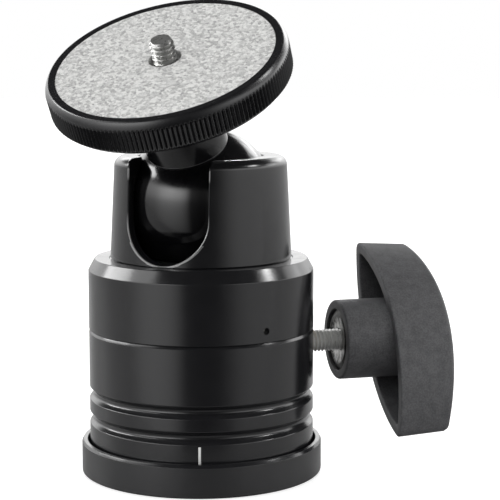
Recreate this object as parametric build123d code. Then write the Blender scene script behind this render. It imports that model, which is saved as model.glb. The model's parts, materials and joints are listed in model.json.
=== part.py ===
from build123d import *

import os
from math import asin, cos, pi, radians, sin, sqrt, tan

# Tripod ball head. A ball in a slotted neck carries a round camera plate on a
# stem, the housing pans on a cup-shaped base, and one side knob drives a wedge
# that lifts the lower ball cup and presses the pan brake at the same time.
#
# Frame, in millimetres: origin where the base's axis meets the surface that it
# stands on, +Z up, -Y towards the index mark, +X towards the knob's side.

# Fits and clearances
RUN = 0.08              # radial clearance of a shaft that turns or slides in its bore
FIXED_GAP = 0.03        # radial clearance of a piece fixed in its seat
SLIP = 0.05             # gap between flat faces that move past each other
BALL_GAP = 0.25         # gap between the ball and what guides it
PAST = 1.0              # how far a cut reaches past the face that it opens

# Base, a shallow cup with a hollow pivot boss
BASE_RADIUS = 32.2
BASE_HEIGHT = 8.7
BASE_FLOOR = 3.2
BASE_RIM_ROUND = 0.7
BASE_FOOT_CHAMFER = 0.4
CUP_GAP = 0.6           # between the housing and the cup's rim
PIVOT_RADIUS = 14.5
PIVOT_TOP = 10.5

# Tripod thread insert, 3/8 inch
TRIPOD_THREAD_RADIUS = 4.7625
INSERT_RADIUS = 7.5
INSERT_HEAD_RADIUS = 8.6
INSERT_HEAD = 1.5

# Pan bearing
PAN_WASHER = 0.5
PAN_WASHER_EDGE = 1.0   # how far the lower washer stays inside the housing's edge
BEARING_RING_RADIUS = 26.0
BEARING_RING = 4.25
FLANGE_RADIUS = 20.0
FLANGE_ABOVE_PIVOT = 3.0
FLANGE_HEAD_GAP = 0.3   # round the insert's head
FLANGE_SCREWS = 3
FLANGE_SCREW_CIRCLE = 11.6
FLANGE_SCREW_RADIUS = 1.25
FLANGE_SCREW_HEAD = 2.2
FLANGE_SCREW_HEAD_HEIGHT = 2.0
FLANGE_SCREW_LENGTH = 6.0
FLANGE_SCREW_SOCKET = 1.0

# Housing, lower half
BODY_RADIUS = 30.0
SEAM_HEIGHT = 38.5
SEAM_CHAMFER = 0.45
BODY_FOOT_CHAMFER = 0.5
GROOVE_HEIGHTS = (15.0, 21.6)
GROOVE_DEPTH = 1.9      # of the groove's flanks, where they would meet
GROOVE_HALF_WIDTH = 1.65
GROOVE_ROUND = 1.2      # at the groove's bottom
CAVITY_RADIUS = 22.0
CAVITY_TOP = 18.6
SPIGOT_RADIUS = 26.0
SPIGOT_HEIGHT = 4.2
MARK_WIDTH = 0.65
MARK_DEPTH = 0.3
MARK_RECESS = 0.03
MARK_BOTTOM = 8.4
MARK_TOP_GAP = 0.45     # from the mark's top to the lower groove
MARK_TURN = 1.1         # degrees left of the front

# Housing, upper half with the neck
SHOULDER_EDGE = 54.3    # foot of the bevel
SHOULDER_BEVEL = 1.75   # width of the bevel
NECK_FOOT = 57.45       # the shoulder's flat
NECK_FOOT_RADIUS = 24.1
NECK_TOP = 84.6
NECK_TOP_RADIUS = 22.75
NECK_ROUND = 2.6
BALL_BORE_RADIUS = 20.6
SLOT_TURN = 24.5        # degrees from the front towards -X
SLOT_GAP = 0.4          # each side of the stem collar
SLOT_ARC_HEIGHT = 69.1
SLOT_CHAMFER = 0.35
SEAT_DROP = 5.2         # how far the upper seat's ledge lies under the neck's top
SEAT_HEIGHT = 3.3
LOCK_TURN = 33.4        # degrees from the front towards +X
LOCK_ABOVE_SEAM = 3.1
LOCK_RADIUS = 0.9
LOCK_LENGTH = 2.6
LOCK_SOCKET = 0.45

# Ball and stem
BALL_RADIUS = 20.0
BALL_HEIGHT = 72.4
STEM_TILT = 29.5        # degrees from upright, towards the slot
STEM_RADIUS = 5.0
STEM_DEPTH = 14.0       # of the stem in the ball
COLLAR_RADIUS = 10.8
COLLAR_CHAMFER = 0.4

# Camera plate, pad and screw, measured along the stem from the ball's centre
PLATE_BACK = 34.8
PLATE_THICK = 9.0
PLATE_RADIUS = 31.4
PLATE_LIP = 1.9         # width of the flat lip round the pad
PLATE_BEVEL = 2.0       # height of the bevel between the lip and the ribbed band
PLATE_FOOT = 0.8        # chamfer at the back
RIBS = 168
RIB_DEPTH = 0.5
PAD_RADIUS = 28.4
PAD_THICK = 1.5
PAD_SINK = 0.1
PAD_HOLE = 4.2
PAD_FIT = 0.1
CAMERA_SCREW_RADIUS = 3.175
CAMERA_SCREW_OUT = 5.2
CAMERA_SCREW_TIP = 0.6
SCREW_HEAD_RADIUS = 9.0
SCREW_HEAD = 2.4
CLIP_RADIUS = 7.4
CLIP_THICK = 1.0
CLIP_GROOVE = 0.8       # depth of the stem's groove
CLIP_SPLIT = 4.0
CLIP_ROOM = 0.6
PLATE_FLOOR = 2.5       # thickness that the clip bears on
STEM_END = 0.5          # of the stem above its clip

# Clamp: knob, screw, wedge and what the wedge moves
KNOB_TURN = 14.0        # degrees from +X towards +Y
KNOB_BELOW_SEAM = 5.5
SCREW_RADIUS = 3.0
SCREW_NOSE_RADIUS = 2.2
SCREW_NOSE = 1.4
WEDGE_RADIUS = 4.5
WEDGE_ANGLE = 20.0
WEDGE_HALF_THICK = 2.9  # on the head's axis
WEDGE_INNER = 6.0
WEDGE_OUTER = 14.0
WEDGE_BORE_END = 3.0    # of the wedge's bore past the wedge's inner end
WEDGE_BLOCK = 100.0     # side of the blocks that shape the sloping faces
PLUNGER_RADIUS = 6.5
BUSH_LENGTH = 11.0
BUSH_SET_BACK = 0.5
BUSH_SLOT_WIDTH = 1.2
BUSH_SLOT_DEPTH = 1.2
CARRIER_RADIUS = 18.0
CARRIER_DISC = 3.0
CARRIER_CLEAR = 0.6     # over the spigot, more than the lift
SPRING_INNER = 8.0
SPRING_OUTER = 17.0
SPRING_THICK = 0.6
SPRING_CONE = 0.6
SPRINGS = 2
CUP_TOP = 57.4
CUP_HOLE = 5.0
LINING_RADIUS = 12.0
LINING_INNER = 6.5
LINING_THICK = 1.0
LINING_GAP = 0.1
SHOE_DISC = 2.2

# Knob, measured along its own axis from the head's axis
HUB_FACE = 38.1
HUB_RADIUS = 10.9
HUB_CHAMFER = 0.6
INSERT_FACE_SET_BACK = 0.3
KNOB_INSERT_RADIUS = 8.4
KNOB_INSERT_LENGTH = 9.0
SCREW_IN_KNOB = 8.0
WING_RIM = 50.85
WING_DEPTH = 16.6
WING_HALF_LENGTH = 30.8
WING_HALF_WIDTH = 12.8
WING_TIP_ROUND = 2.5
HOLLOW_TIP_ROUND = 1.2
WING_LEAN = 36.4        # degrees of the wing's long axis from upright
WING_DRAFT = 3.0
WING_CROWN_RADIUS = 150.0
WING_RIM_RADIUS = 580.0
WING_WALL = 2.8
WING_CROWN_WALL = 2.6
WING_EDGE_ROUND = 1.2
WING_RIM_ROUND = 0.5

# Worked out from the values above
CUP_RADIUS = BODY_RADIUS + CUP_GAP
KNOB_HEIGHT = SEAM_HEIGHT - KNOB_BELOW_SEAM
LOCK_HEIGHT = SEAM_HEIGHT + LOCK_ABOVE_SEAM
HOUSING_FOOT = BASE_FLOOR + PAN_WASHER + SLIP
BEARING_RING_TOP = HOUSING_FOOT + BEARING_RING
FLANGE_FOOT = BEARING_RING_TOP + PAN_WASHER + SLIP
FLANGE_TOP = PIVOT_TOP + FLANGE_ABOVE_PIVOT
FLANGE_BORE = INSERT_HEAD_RADIUS + FLANGE_HEAD_GAP
SPIGOT_TOP = SEAM_HEIGHT + SPIGOT_HEIGHT
SLOT_HALF_WIDTH = COLLAR_RADIUS + SLOT_GAP
SEAT_TOP = NECK_TOP - SEAT_DROP
SOCKET_RADIUS = BALL_RADIUS + BALL_GAP
PLATE_FACE = PLATE_BACK + PLATE_THICK
PAD_FOOT = PLATE_FACE - PAD_SINK - PAD_THICK
PAD_SEAT_RADIUS = PAD_RADIUS + PAD_FIT
SCREW_HEAD_FOOT = PAD_FOOT - SCREW_HEAD
CLIP_FOOT = PLATE_BACK + PLATE_FLOOR + SLIP
CARRIER_FOOT = SPIGOT_TOP + CARRIER_CLEAR
CARRIER_TOP = CARRIER_FOOT + CARRIER_DISC
SPRING_HEIGHT = SPRING_THICK + SPRING_CONE
CUP_FOOT = CARRIER_TOP + SPRINGS * (SPRING_HEIGHT + FIXED_GAP)
LINING_FOOT = FLANGE_TOP + LINING_GAP
SHOE_FOOT = LINING_FOOT + LINING_THICK
BUSH_END = BODY_RADIUS - BUSH_SET_BACK
INSERT_FACE = HUB_FACE + INSERT_FACE_SET_BACK

# Places of the tilted stem, the slot and the knob
SLOT_FRAME = Pos(0, 0, BALL_HEIGHT) * Rot(0, 0, -90 - SLOT_TURN)
STEM_FRAME = SLOT_FRAME * Rot(0, STEM_TILT, 0)
KNOB_FRAME = Pos(0, 0, KNOB_HEIGHT) * Rot(0, 0, KNOB_TURN) * Rot(0, 90, 0)
WING_FRAME = Pos(0, 0, WING_RIM) * Rot(0, 0, -WING_LEAN)


def turned(*section):
    """A solid of revolution about Z from its half section, as (radius, height) points."""
    return revolve(Plane.XZ * make_face(Polyline(*section, close=True)), Axis.Z)


def rod(radius, bottom, top):
    """A solid cylinder on Z between two heights."""
    return Pos(0, 0, bottom) * extrude(Circle(radius), top - bottom)


def ring(inner, outer, bottom, top):
    """A plain ring on Z between two heights."""
    return Pos(0, 0, bottom) * extrude(Circle(outer) - Circle(inner), top - bottom)


def rings_at(shape, radius, height):
    """The shape's circular edges of one radius at one height."""
    return [
        edge for edge in shape.edges().filter_by(GeomType.CIRCLE)
        if abs(edge.radius - radius) < 0.01 and abs(edge.center(CenterOf.MASS).Z - height) < 0.01
    ]


def hex_socket(across_half, top, depth):
    """The hollow of a hexagon key's socket, open at the top."""
    return Pos(0, 0, top - depth) * extrude(RegularPolygon(across_half, 6), depth + PAST)


# Base and pan bearing

def flange_screw_places():
    """The places of the screws that hold the pan flange on the pivot boss."""
    return PolarLocations(FLANGE_SCREW_CIRCLE, FLANGE_SCREWS)


def screw_shank_foot():
    """The height of the flange screws' tips."""
    return FLANGE_TOP - FLANGE_SCREW_HEAD_HEIGHT - FLANGE_SCREW_LENGTH


def pan_base():
    base = turned(
        (INSERT_RADIUS + FIXED_GAP, 0), (BASE_RADIUS, 0), (BASE_RADIUS, BASE_HEIGHT),
        (CUP_RADIUS, BASE_HEIGHT), (CUP_RADIUS, BASE_FLOOR), (PIVOT_RADIUS, BASE_FLOOR),
        (PIVOT_RADIUS, PIVOT_TOP), (INSERT_RADIUS + FIXED_GAP, PIVOT_TOP),
    )
    base = fillet(rings_at(base, BASE_RADIUS, BASE_HEIGHT), BASE_RIM_ROUND)
    base = chamfer(rings_at(base, BASE_RADIUS, 0), BASE_FOOT_CHAMFER)
    for place in flange_screw_places():
        base -= place * rod(FLANGE_SCREW_RADIUS + FIXED_GAP, screw_shank_foot() - PAST, PIVOT_TOP + PAST)
    return base


def tripod_insert():
    return turned(
        (TRIPOD_THREAD_RADIUS, 0), (INSERT_RADIUS, 0), (INSERT_RADIUS, PIVOT_TOP),
        (INSERT_HEAD_RADIUS, PIVOT_TOP), (INSERT_HEAD_RADIUS, PIVOT_TOP + INSERT_HEAD),
        (TRIPOD_THREAD_RADIUS, PIVOT_TOP + INSERT_HEAD),
    )


def pan_washer_lower():
    return ring(
        PIVOT_RADIUS + RUN, BODY_RADIUS - PAN_WASHER_EDGE, BASE_FLOOR, BASE_FLOOR + PAN_WASHER)


def pan_washer_upper():
    return ring(
        PIVOT_RADIUS + RUN, FLANGE_RADIUS, BEARING_RING_TOP, BEARING_RING_TOP + PAN_WASHER)


def pan_flange():
    flange = turned(
        (FLANGE_BORE, PIVOT_TOP), (PIVOT_RADIUS + RUN, PIVOT_TOP),
        (PIVOT_RADIUS + RUN, FLANGE_FOOT), (FLANGE_RADIUS, FLANGE_FOOT),
        (FLANGE_RADIUS, FLANGE_TOP), (FLANGE_BORE, FLANGE_TOP),
    )
    head_foot = FLANGE_TOP - FLANGE_SCREW_HEAD_HEIGHT
    for place in flange_screw_places():
        flange -= place * rod(FLANGE_SCREW_RADIUS + RUN, PIVOT_TOP - PAST, FLANGE_TOP)
        flange -= place * rod(FLANGE_SCREW_HEAD + RUN, head_foot, FLANGE_TOP + PAST)
    return flange


def flange_screws():
    head_foot = FLANGE_TOP - FLANGE_SCREW_HEAD_HEIGHT
    screw = rod(FLANGE_SCREW_RADIUS, screw_shank_foot(), head_foot)
    screw += rod(FLANGE_SCREW_HEAD, head_foot, FLANGE_TOP - SLIP)
    screw -= hex_socket(FLANGE_SCREW_SOCKET, FLANGE_TOP, FLANGE_SCREW_HEAD_HEIGHT / 2)
    return Compound([place * screw for place in flange_screw_places()])


def bearing_ring():
    return ring(
        PIVOT_RADIUS + RUN, BEARING_RING_RADIUS - FIXED_GAP, HOUSING_FOOT, BEARING_RING_TOP)


# Housing

def body_side():
    """The lower housing's outer line with its grooves, from its foot to the seam."""
    line = [(BODY_RADIUS - BODY_FOOT_CHAMFER, HOUSING_FOOT),
            (BODY_RADIUS, HOUSING_FOOT + BODY_FOOT_CHAMFER)]
    for height in GROOVE_HEIGHTS:
        line += [(BODY_RADIUS, height - GROOVE_HALF_WIDTH),
                 (BODY_RADIUS - GROOVE_DEPTH, height),
                 (BODY_RADIUS, height + GROOVE_HALF_WIDTH)]
    return line + [(BODY_RADIUS, SEAM_HEIGHT - SEAM_CHAMFER),
                   (BODY_RADIUS - SEAM_CHAMFER, SEAM_HEIGHT)]


def mark_top():
    """The index mark ends just under the lower groove."""
    return GROOVE_HEIGHTS[0] - GROOVE_HALF_WIDTH - MARK_TOP_GAP


def mark_block(face_radius):
    """A block on the index mark's place, from the groove's floor out to one radius."""
    floor = BODY_RADIUS - MARK_DEPTH
    block = Pos((floor + face_radius) / 2, 0, (MARK_BOTTOM + mark_top()) / 2)
    block *= Box(face_radius - floor, MARK_WIDTH, mark_top() - MARK_BOTTOM)
    return Rot(0, 0, -90 - MARK_TURN) * block


def lower_housing():
    ring_seat = BEARING_RING_RADIUS
    plunger_bore = PLUNGER_RADIUS + RUN
    housing = turned(
        (ring_seat, HOUSING_FOOT), *body_side(),
        (SPIGOT_RADIUS, SEAM_HEIGHT), (SPIGOT_RADIUS, SPIGOT_TOP),
        (plunger_bore, SPIGOT_TOP), (plunger_bore, CAVITY_TOP),
        (CAVITY_RADIUS, CAVITY_TOP), (CAVITY_RADIUS, BEARING_RING_TOP),
        (ring_seat, BEARING_RING_TOP),
    )
    for height in GROOVE_HEIGHTS:
        housing = fillet(rings_at(housing, BODY_RADIUS - GROOVE_DEPTH, height), GROOVE_ROUND)
    housing -= KNOB_FRAME * rod(WEDGE_RADIUS + RUN, -WEDGE_INNER - WEDGE_BORE_END, BODY_RADIUS + PAST)
    return housing - mark_block(BODY_RADIUS + PAST)


def index_mark():
    return mark_block(BODY_RADIUS - MARK_RECESS)


def lock_frame():
    """The set screw's place: local Z runs out along the screw."""
    return Pos(0, 0, LOCK_HEIGHT) * Rot(0, 0, -90 + LOCK_TURN) * Rot(0, 90, 0)


def slot_tool(half_width, inner, outer):
    """A block of the slot's outline, round at the foot, between two distances from the axis."""
    arc = SLOT_ARC_HEIGHT - BALL_HEIGHT
    top = NECK_TOP - BALL_HEIGHT + PAST
    outline = Pos(0, arc) * Circle(half_width)
    outline += Pos(0, (arc + top) / 2) * Rectangle(2 * half_width, top - arc)
    block = extrude(Plane((inner, 0, 0), x_dir=(0, 1, 0), z_dir=(1, 0, 0)) * outline, outer - inner)
    return SLOT_FRAME * block


def slot_edges(housing):
    """The slot's edges on the neck's cone."""
    edges = []
    for edge in housing.edges():
        place = SLOT_FRAME.inverse() * Pos(edge.center(CenterOf.MASS))
        middle = place.position
        if middle.X > BALL_BORE_RADIUS - NECK_ROUND and abs(middle.Y) < SLOT_HALF_WIDTH + PAST:
            edges.append(edge)
    return edges


def upper_housing():
    housing = turned(
        (SPIGOT_RADIUS + FIXED_GAP, SEAM_HEIGHT), (BODY_RADIUS - SEAM_CHAMFER, SEAM_HEIGHT),
        (BODY_RADIUS, SEAM_HEIGHT + SEAM_CHAMFER), (BODY_RADIUS, SHOULDER_EDGE),
        (BODY_RADIUS - SHOULDER_BEVEL, NECK_FOOT),
        (NECK_FOOT_RADIUS, NECK_FOOT), (NECK_TOP_RADIUS, NECK_TOP), (0, NECK_TOP),
        (0, SEAT_TOP), (BALL_BORE_RADIUS, SEAT_TOP), (BALL_BORE_RADIUS, SPIGOT_TOP + FIXED_GAP),
        (SPIGOT_RADIUS + FIXED_GAP, SPIGOT_TOP + FIXED_GAP),
    )
    housing = fillet(rings_at(housing, NECK_TOP_RADIUS, NECK_TOP), NECK_ROUND)
    housing -= Pos(0, 0, BALL_HEIGHT) * Sphere(SOCKET_RADIUS)
    housing -= slot_tool(SLOT_HALF_WIDTH, 0, BODY_RADIUS)
    housing = chamfer(slot_edges(housing), SLOT_CHAMFER)
    return housing - lock_frame() * rod(LOCK_RADIUS, SPIGOT_RADIUS - PAST, BODY_RADIUS + PAST)


def housing_set_screw():
    foot = SPIGOT_RADIUS + FIXED_GAP
    screw = rod(LOCK_RADIUS - FIXED_GAP, foot, foot + LOCK_LENGTH)
    screw -= hex_socket(LOCK_SOCKET, foot + LOCK_LENGTH, LOCK_LENGTH / 2)
    return lock_frame() * screw


def upper_seat():
    seat = rod(BALL_BORE_RADIUS - FIXED_GAP, SEAT_TOP - SEAT_HEIGHT, SEAT_TOP - FIXED_GAP)
    seat -= Pos(0, 0, BALL_HEIGHT) * Sphere(SOCKET_RADIUS)
    return seat - slot_tool(SLOT_HALF_WIDTH + SLOT_GAP, 0, BODY_RADIUS)


def clamp_bush():
    bush = ring(SCREW_RADIUS + RUN, WEDGE_RADIUS + RUN - FIXED_GAP, BUSH_END - BUSH_LENGTH, BUSH_END)
    slot = Box(3 * WEDGE_RADIUS, BUSH_SLOT_WIDTH, 2 * BUSH_SLOT_DEPTH)
    return KNOB_FRAME * (bush - Pos(0, 0, BUSH_END) * slot)


# Clamp train

def wedge_plane(side, gap):
    """The half space past the wedge's sloping face: side 1 above it, side -1 below it."""
    block = Pos(0, 0, side * WEDGE_BLOCK / 2) * Box(WEDGE_BLOCK, WEDGE_BLOCK, WEDGE_BLOCK)
    rise = Pos(0, 0, KNOB_HEIGHT + side * (WEDGE_HALF_THICK + gap))
    return rise * Rot(0, 0, KNOB_TURN) * Rot(0, -side * WEDGE_ANGLE, 0) * block


def thrust_wedge():
    wedge = KNOB_FRAME * rod(WEDGE_RADIUS, -WEDGE_INNER, WEDGE_OUTER)
    return wedge - wedge_plane(1, 0) - wedge_plane(-1, 0)


def cup_carrier():
    carrier = rod(PLUNGER_RADIUS, KNOB_HEIGHT - WEDGE_RADIUS, CARRIER_FOOT)
    carrier = carrier & wedge_plane(1, SLIP)
    return carrier + rod(CARRIER_RADIUS, CARRIER_FOOT, CARRIER_TOP)


def disc_springs():
    springs = []
    for index in range(SPRINGS):
        foot = CARRIER_TOP + FIXED_GAP / 2 + index * (SPRING_HEIGHT + FIXED_GAP)
        inner, outer = foot, foot + SPRING_CONE
        if index % 2:
            inner, outer = outer, inner
        springs.append(turned(
            (SPRING_INNER, inner), (SPRING_OUTER, outer), (SPRING_OUTER, outer + SPRING_THICK),
            (SPRING_INNER, inner + SPRING_THICK)))
    return Compound(springs)


def ball_cup():
    cup = ring(CUP_HOLE, BALL_BORE_RADIUS - RUN, CUP_FOOT, CUP_TOP)
    return cup - Pos(0, 0, BALL_HEIGHT) * Sphere(SOCKET_RADIUS)


def brake_shoe():
    stem = rod(PLUNGER_RADIUS, SHOE_FOOT, KNOB_HEIGHT + WEDGE_RADIUS) & wedge_plane(-1, SLIP)
    return stem + rod(LINING_RADIUS, SHOE_FOOT, SHOE_FOOT + SHOE_DISC)


def brake_lining():
    return ring(LINING_INNER, LINING_RADIUS, LINING_FOOT, SHOE_FOOT)


# Knob

def clamp_screw():
    nose = WEDGE_OUTER + SLIP
    end = HUB_FACE + SCREW_IN_KNOB
    screw = rod(SCREW_NOSE_RADIUS, nose, nose + SCREW_NOSE)
    return KNOB_FRAME * (screw + rod(SCREW_RADIUS, nose + SCREW_NOSE, end))


def knob_insert():
    sleeve = ring(
        SCREW_RADIUS + FIXED_GAP, KNOB_INSERT_RADIUS, INSERT_FACE, INSERT_FACE + KNOB_INSERT_LENGTH)
    return KNOB_FRAME * sleeve


def wing_outline(inset, tip_round):
    """The wing's lens-shaped outline, two arcs with rounded tips, inset by a wall."""
    arc_radius = (WING_HALF_LENGTH ** 2 + WING_HALF_WIDTH ** 2) / (2 * WING_HALF_WIDTH)
    tip_angle = asin(WING_HALF_LENGTH / arc_radius)
    length = WING_HALF_LENGTH - inset / sin(tip_angle)
    width = WING_HALF_WIDTH - inset
    lens = make_face([
        ThreePointArc((-length, 0), (0, width), (length, 0)),
        ThreePointArc((length, 0), (0, -width), (-length, 0)),
    ])
    return fillet(lens.vertices(), tip_round)


def wing_block(inset, tip_round, bottom):
    """A drafted block of the wing's outline that reaches past the crown."""
    top = WING_DEPTH + PAST
    draft = tan(radians(WING_DRAFT))
    return loft([
        Pos(0, 0, bottom) * wing_outline(inset + bottom * draft, tip_round),
        Pos(0, 0, top) * wing_outline(inset + top * draft, tip_round),
    ], ruled=True)


def barrel(radius, top):
    """A cylinder across the wing whose highest line is at one height: the wing's curved faces."""
    across = Rot(90, 0, 0) * extrude(Circle(radius), 2 * WING_HALF_WIDTH, both=True)
    return Pos(0, 0, top - radius) * across


def crown(wall):
    """The cylinder of the wing's crowned face, less a wall."""
    return barrel(WING_CROWN_RADIUS - wall, WING_DEPTH - wall)


def knob_body():
    wing = (wing_block(0, WING_TIP_ROUND, -PAST) & crown(0)) - barrel(WING_RIM_RADIUS, 0)
    top_edges = [edge for edge in wing.edges() if edge.center().Z > WING_DEPTH / 2
                 and abs(edge.position_at(0).Z - edge.position_at(1).Z) < WING_DEPTH / 2]
    wing = fillet(top_edges, WING_EDGE_ROUND)
    hollow = wing_block(WING_WALL, HOLLOW_TIP_ROUND, -2 * PAST)
    shell = wing - (hollow & crown(WING_CROWN_WALL))
    rim_edges = [edge for edge in shell.edges()
                 if edge.bounding_box().max.Z < WING_EDGE_ROUND]
    shell = fillet(rim_edges, WING_RIM_ROUND)
    hub = rod(HUB_RADIUS, HUB_FACE - WING_RIM, WING_DEPTH) & crown(WING_CROWN_WALL / 2)
    hub = chamfer(rings_at(hub, HUB_RADIUS, HUB_FACE - WING_RIM), HUB_CHAMFER)
    body = WING_FRAME * (shell + hub)
    body -= rod(KNOB_INSERT_RADIUS + FIXED_GAP, HUB_FACE - PAST, INSERT_FACE + KNOB_INSERT_LENGTH)
    return KNOB_FRAME * body


# Ball, stem and camera plate

def ball():
    return STEM_FRAME * (Sphere(BALL_RADIUS) - rod(
        STEM_RADIUS + FIXED_GAP, BALL_RADIUS - STEM_DEPTH, BALL_RADIUS + PAST))


def stem():
    groove_top = CLIP_FOOT + CLIP_THICK + FIXED_GAP
    waist = STEM_RADIUS - CLIP_GROOVE
    return STEM_FRAME * turned(
        (0, BALL_RADIUS - STEM_DEPTH + FIXED_GAP), (STEM_RADIUS, BALL_RADIUS - STEM_DEPTH + FIXED_GAP),
        (STEM_RADIUS, CLIP_FOOT - FIXED_GAP), (waist, CLIP_FOOT - FIXED_GAP), (waist, groove_top),
        (STEM_RADIUS, groove_top), (STEM_RADIUS, groove_top + STEM_END), (0, groove_top + STEM_END),
    )


def stem_collar():
    skirt = sqrt(BALL_RADIUS ** 2 - COLLAR_RADIUS ** 2)
    collar = ring(STEM_RADIUS + FIXED_GAP, COLLAR_RADIUS, skirt, PLATE_BACK - SLIP)
    collar = chamfer(rings_at(collar, COLLAR_RADIUS, skirt), COLLAR_CHAMFER)
    return STEM_FRAME * (collar - Sphere(BALL_RADIUS + FIXED_GAP))


def stem_clip():
    clip = ring(STEM_RADIUS - CLIP_GROOVE + FIXED_GAP, CLIP_RADIUS, CLIP_FOOT, CLIP_FOOT + CLIP_THICK)
    gap = Pos(CLIP_RADIUS / 2, 0, CLIP_FOOT) * Box(CLIP_RADIUS + PAST, CLIP_SPLIT, 3 * CLIP_THICK)
    return STEM_FRAME * (clip - gap)


def ribbed_band(bottom, top):
    """A disc whose edge is cut with fine ribs along its axis."""
    points = []
    for index in range(RIBS):
        for step, radius in ((0, PLATE_RADIUS), (0.5, PLATE_RADIUS - RIB_DEPTH)):
            turn = 2 * pi * (index + step) / RIBS
            points.append((radius * cos(turn), radius * sin(turn)))
    return Pos(0, 0, bottom) * extrude(make_face(Polyline(*points, close=True)), top - bottom)


def camera_plate():
    lip_radius = PAD_SEAT_RADIUS + PLATE_LIP
    root = PLATE_RADIUS - RIB_DEPTH
    plate = turned(
        (0, PLATE_BACK), (root - PLATE_FOOT, PLATE_BACK), (root, PLATE_BACK + PLATE_FOOT),
        (root, PLATE_FACE - PLATE_BEVEL), (lip_radius, PLATE_FACE), (0, PLATE_FACE),
    )
    plate += ribbed_band(PLATE_BACK + PLATE_FOOT, PLATE_FACE - PLATE_BEVEL)
    plate -= rod(PAD_SEAT_RADIUS, PAD_FOOT, PLATE_FACE + PAST)
    plate -= rod(SCREW_HEAD_RADIUS + FIXED_GAP, SCREW_HEAD_FOOT, PAD_FOOT + PAST)
    plate -= rod(CLIP_RADIUS + CLIP_ROOM, CLIP_FOOT - SLIP, SCREW_HEAD_FOOT + PAST)
    plate -= rod(STEM_RADIUS + RUN, PLATE_BACK - PAST, CLIP_FOOT)
    return STEM_FRAME * plate


def grip_pad():
    return STEM_FRAME * ring(PAD_HOLE, PAD_RADIUS, PAD_FOOT, PLATE_FACE - PAD_SINK)


def camera_screw():
    tip = PLATE_FACE + CAMERA_SCREW_OUT
    screw = rod(CAMERA_SCREW_RADIUS, PAD_FOOT, tip)
    screw = chamfer(rings_at(screw, CAMERA_SCREW_RADIUS, tip), CAMERA_SCREW_TIP)
    return STEM_FRAME * (screw + rod(SCREW_HEAD_RADIUS, SCREW_HEAD_FOOT, PAD_FOOT))


NODES = (
    pan_base, tripod_insert, pan_washer_lower, pan_flange, flange_screws,
    bearing_ring, pan_washer_upper, lower_housing, index_mark, upper_housing,
    housing_set_screw, upper_seat, clamp_bush,
    thrust_wedge, cup_carrier, disc_springs, ball_cup, brake_shoe, brake_lining,
    clamp_screw, knob_insert, knob_body,
    ball, stem, stem_collar, stem_clip, camera_plate, grip_pad, camera_screw,
)

os.makedirs("parts", exist_ok=True)
for node in NODES:
    export_step(node(), "parts/" + node.__name__ + ".step")
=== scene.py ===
import json
import math

import bmesh
import bpy
import numpy as np
from bpy.props import FloatProperty, FloatVectorProperty, IntProperty, PointerProperty
from mathutils import Matrix, Quaternion, Vector, noise

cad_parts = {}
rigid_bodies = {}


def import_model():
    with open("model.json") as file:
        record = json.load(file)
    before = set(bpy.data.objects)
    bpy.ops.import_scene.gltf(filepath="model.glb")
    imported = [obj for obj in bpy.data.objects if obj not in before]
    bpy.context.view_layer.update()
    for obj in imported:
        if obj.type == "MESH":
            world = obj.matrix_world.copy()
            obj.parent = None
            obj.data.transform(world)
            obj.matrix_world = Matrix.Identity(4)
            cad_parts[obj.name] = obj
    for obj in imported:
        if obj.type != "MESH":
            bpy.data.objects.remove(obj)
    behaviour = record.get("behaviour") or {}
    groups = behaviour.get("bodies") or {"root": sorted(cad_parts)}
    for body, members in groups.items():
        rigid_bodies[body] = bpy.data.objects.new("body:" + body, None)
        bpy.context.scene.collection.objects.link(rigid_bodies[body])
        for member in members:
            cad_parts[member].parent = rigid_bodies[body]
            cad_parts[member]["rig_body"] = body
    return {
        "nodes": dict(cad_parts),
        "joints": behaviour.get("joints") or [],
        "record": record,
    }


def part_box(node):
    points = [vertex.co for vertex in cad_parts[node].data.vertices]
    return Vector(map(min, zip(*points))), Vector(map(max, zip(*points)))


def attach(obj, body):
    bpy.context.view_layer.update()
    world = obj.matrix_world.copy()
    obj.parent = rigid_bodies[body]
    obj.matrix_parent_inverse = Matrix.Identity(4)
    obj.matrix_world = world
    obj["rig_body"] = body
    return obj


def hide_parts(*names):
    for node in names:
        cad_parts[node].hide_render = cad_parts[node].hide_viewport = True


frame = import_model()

bl_info = {
    "name": "Tripod ball head",
    "version": (1, 0, 0),
    "blender": (4, 5, 0),
    "location": "View3D > Sidebar > Ball head",
    "description": "Builds the pieces, finishes and studio of a tripod ball head round its frame",
    "category": "Object",
}

MM = 0.001
UPRIGHT = Matrix.Identity(4)
# Edges that bend by less than this are shaded smooth.
SHARP_EDGE = math.radians(28)


def linear(hex_colour):
    """An sRGB hex colour as linear red, green and blue."""
    values = [int(hex_colour[i:i + 2], 16) / 255 for i in (1, 3, 5)]
    return tuple(v / 12.92 if v <= 0.04045 else ((v + 0.055) / 1.055) ** 2.4 for v in values)


def length(name, description, millimetres):
    """A size in the sidebar, in metres, from its millimetres."""
    return FloatProperty(name=name, description=description, default=millimetres * MM,
                         unit="LENGTH", precision=5)


def angle(name, description, degrees):
    """A turn in the sidebar, in radians, from its degrees."""
    return FloatProperty(name=name, description=description, default=math.radians(degrees),
                         subtype="ANGLE")


def tint(name, description, hex_colour):
    """A colour in the sidebar, from its sRGB hex value."""
    return FloatVectorProperty(name=name, description=description, subtype="COLOR", size=3,
                               min=0.0, max=1.0, default=linear(hex_colour))


# Sizes and colours

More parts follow.
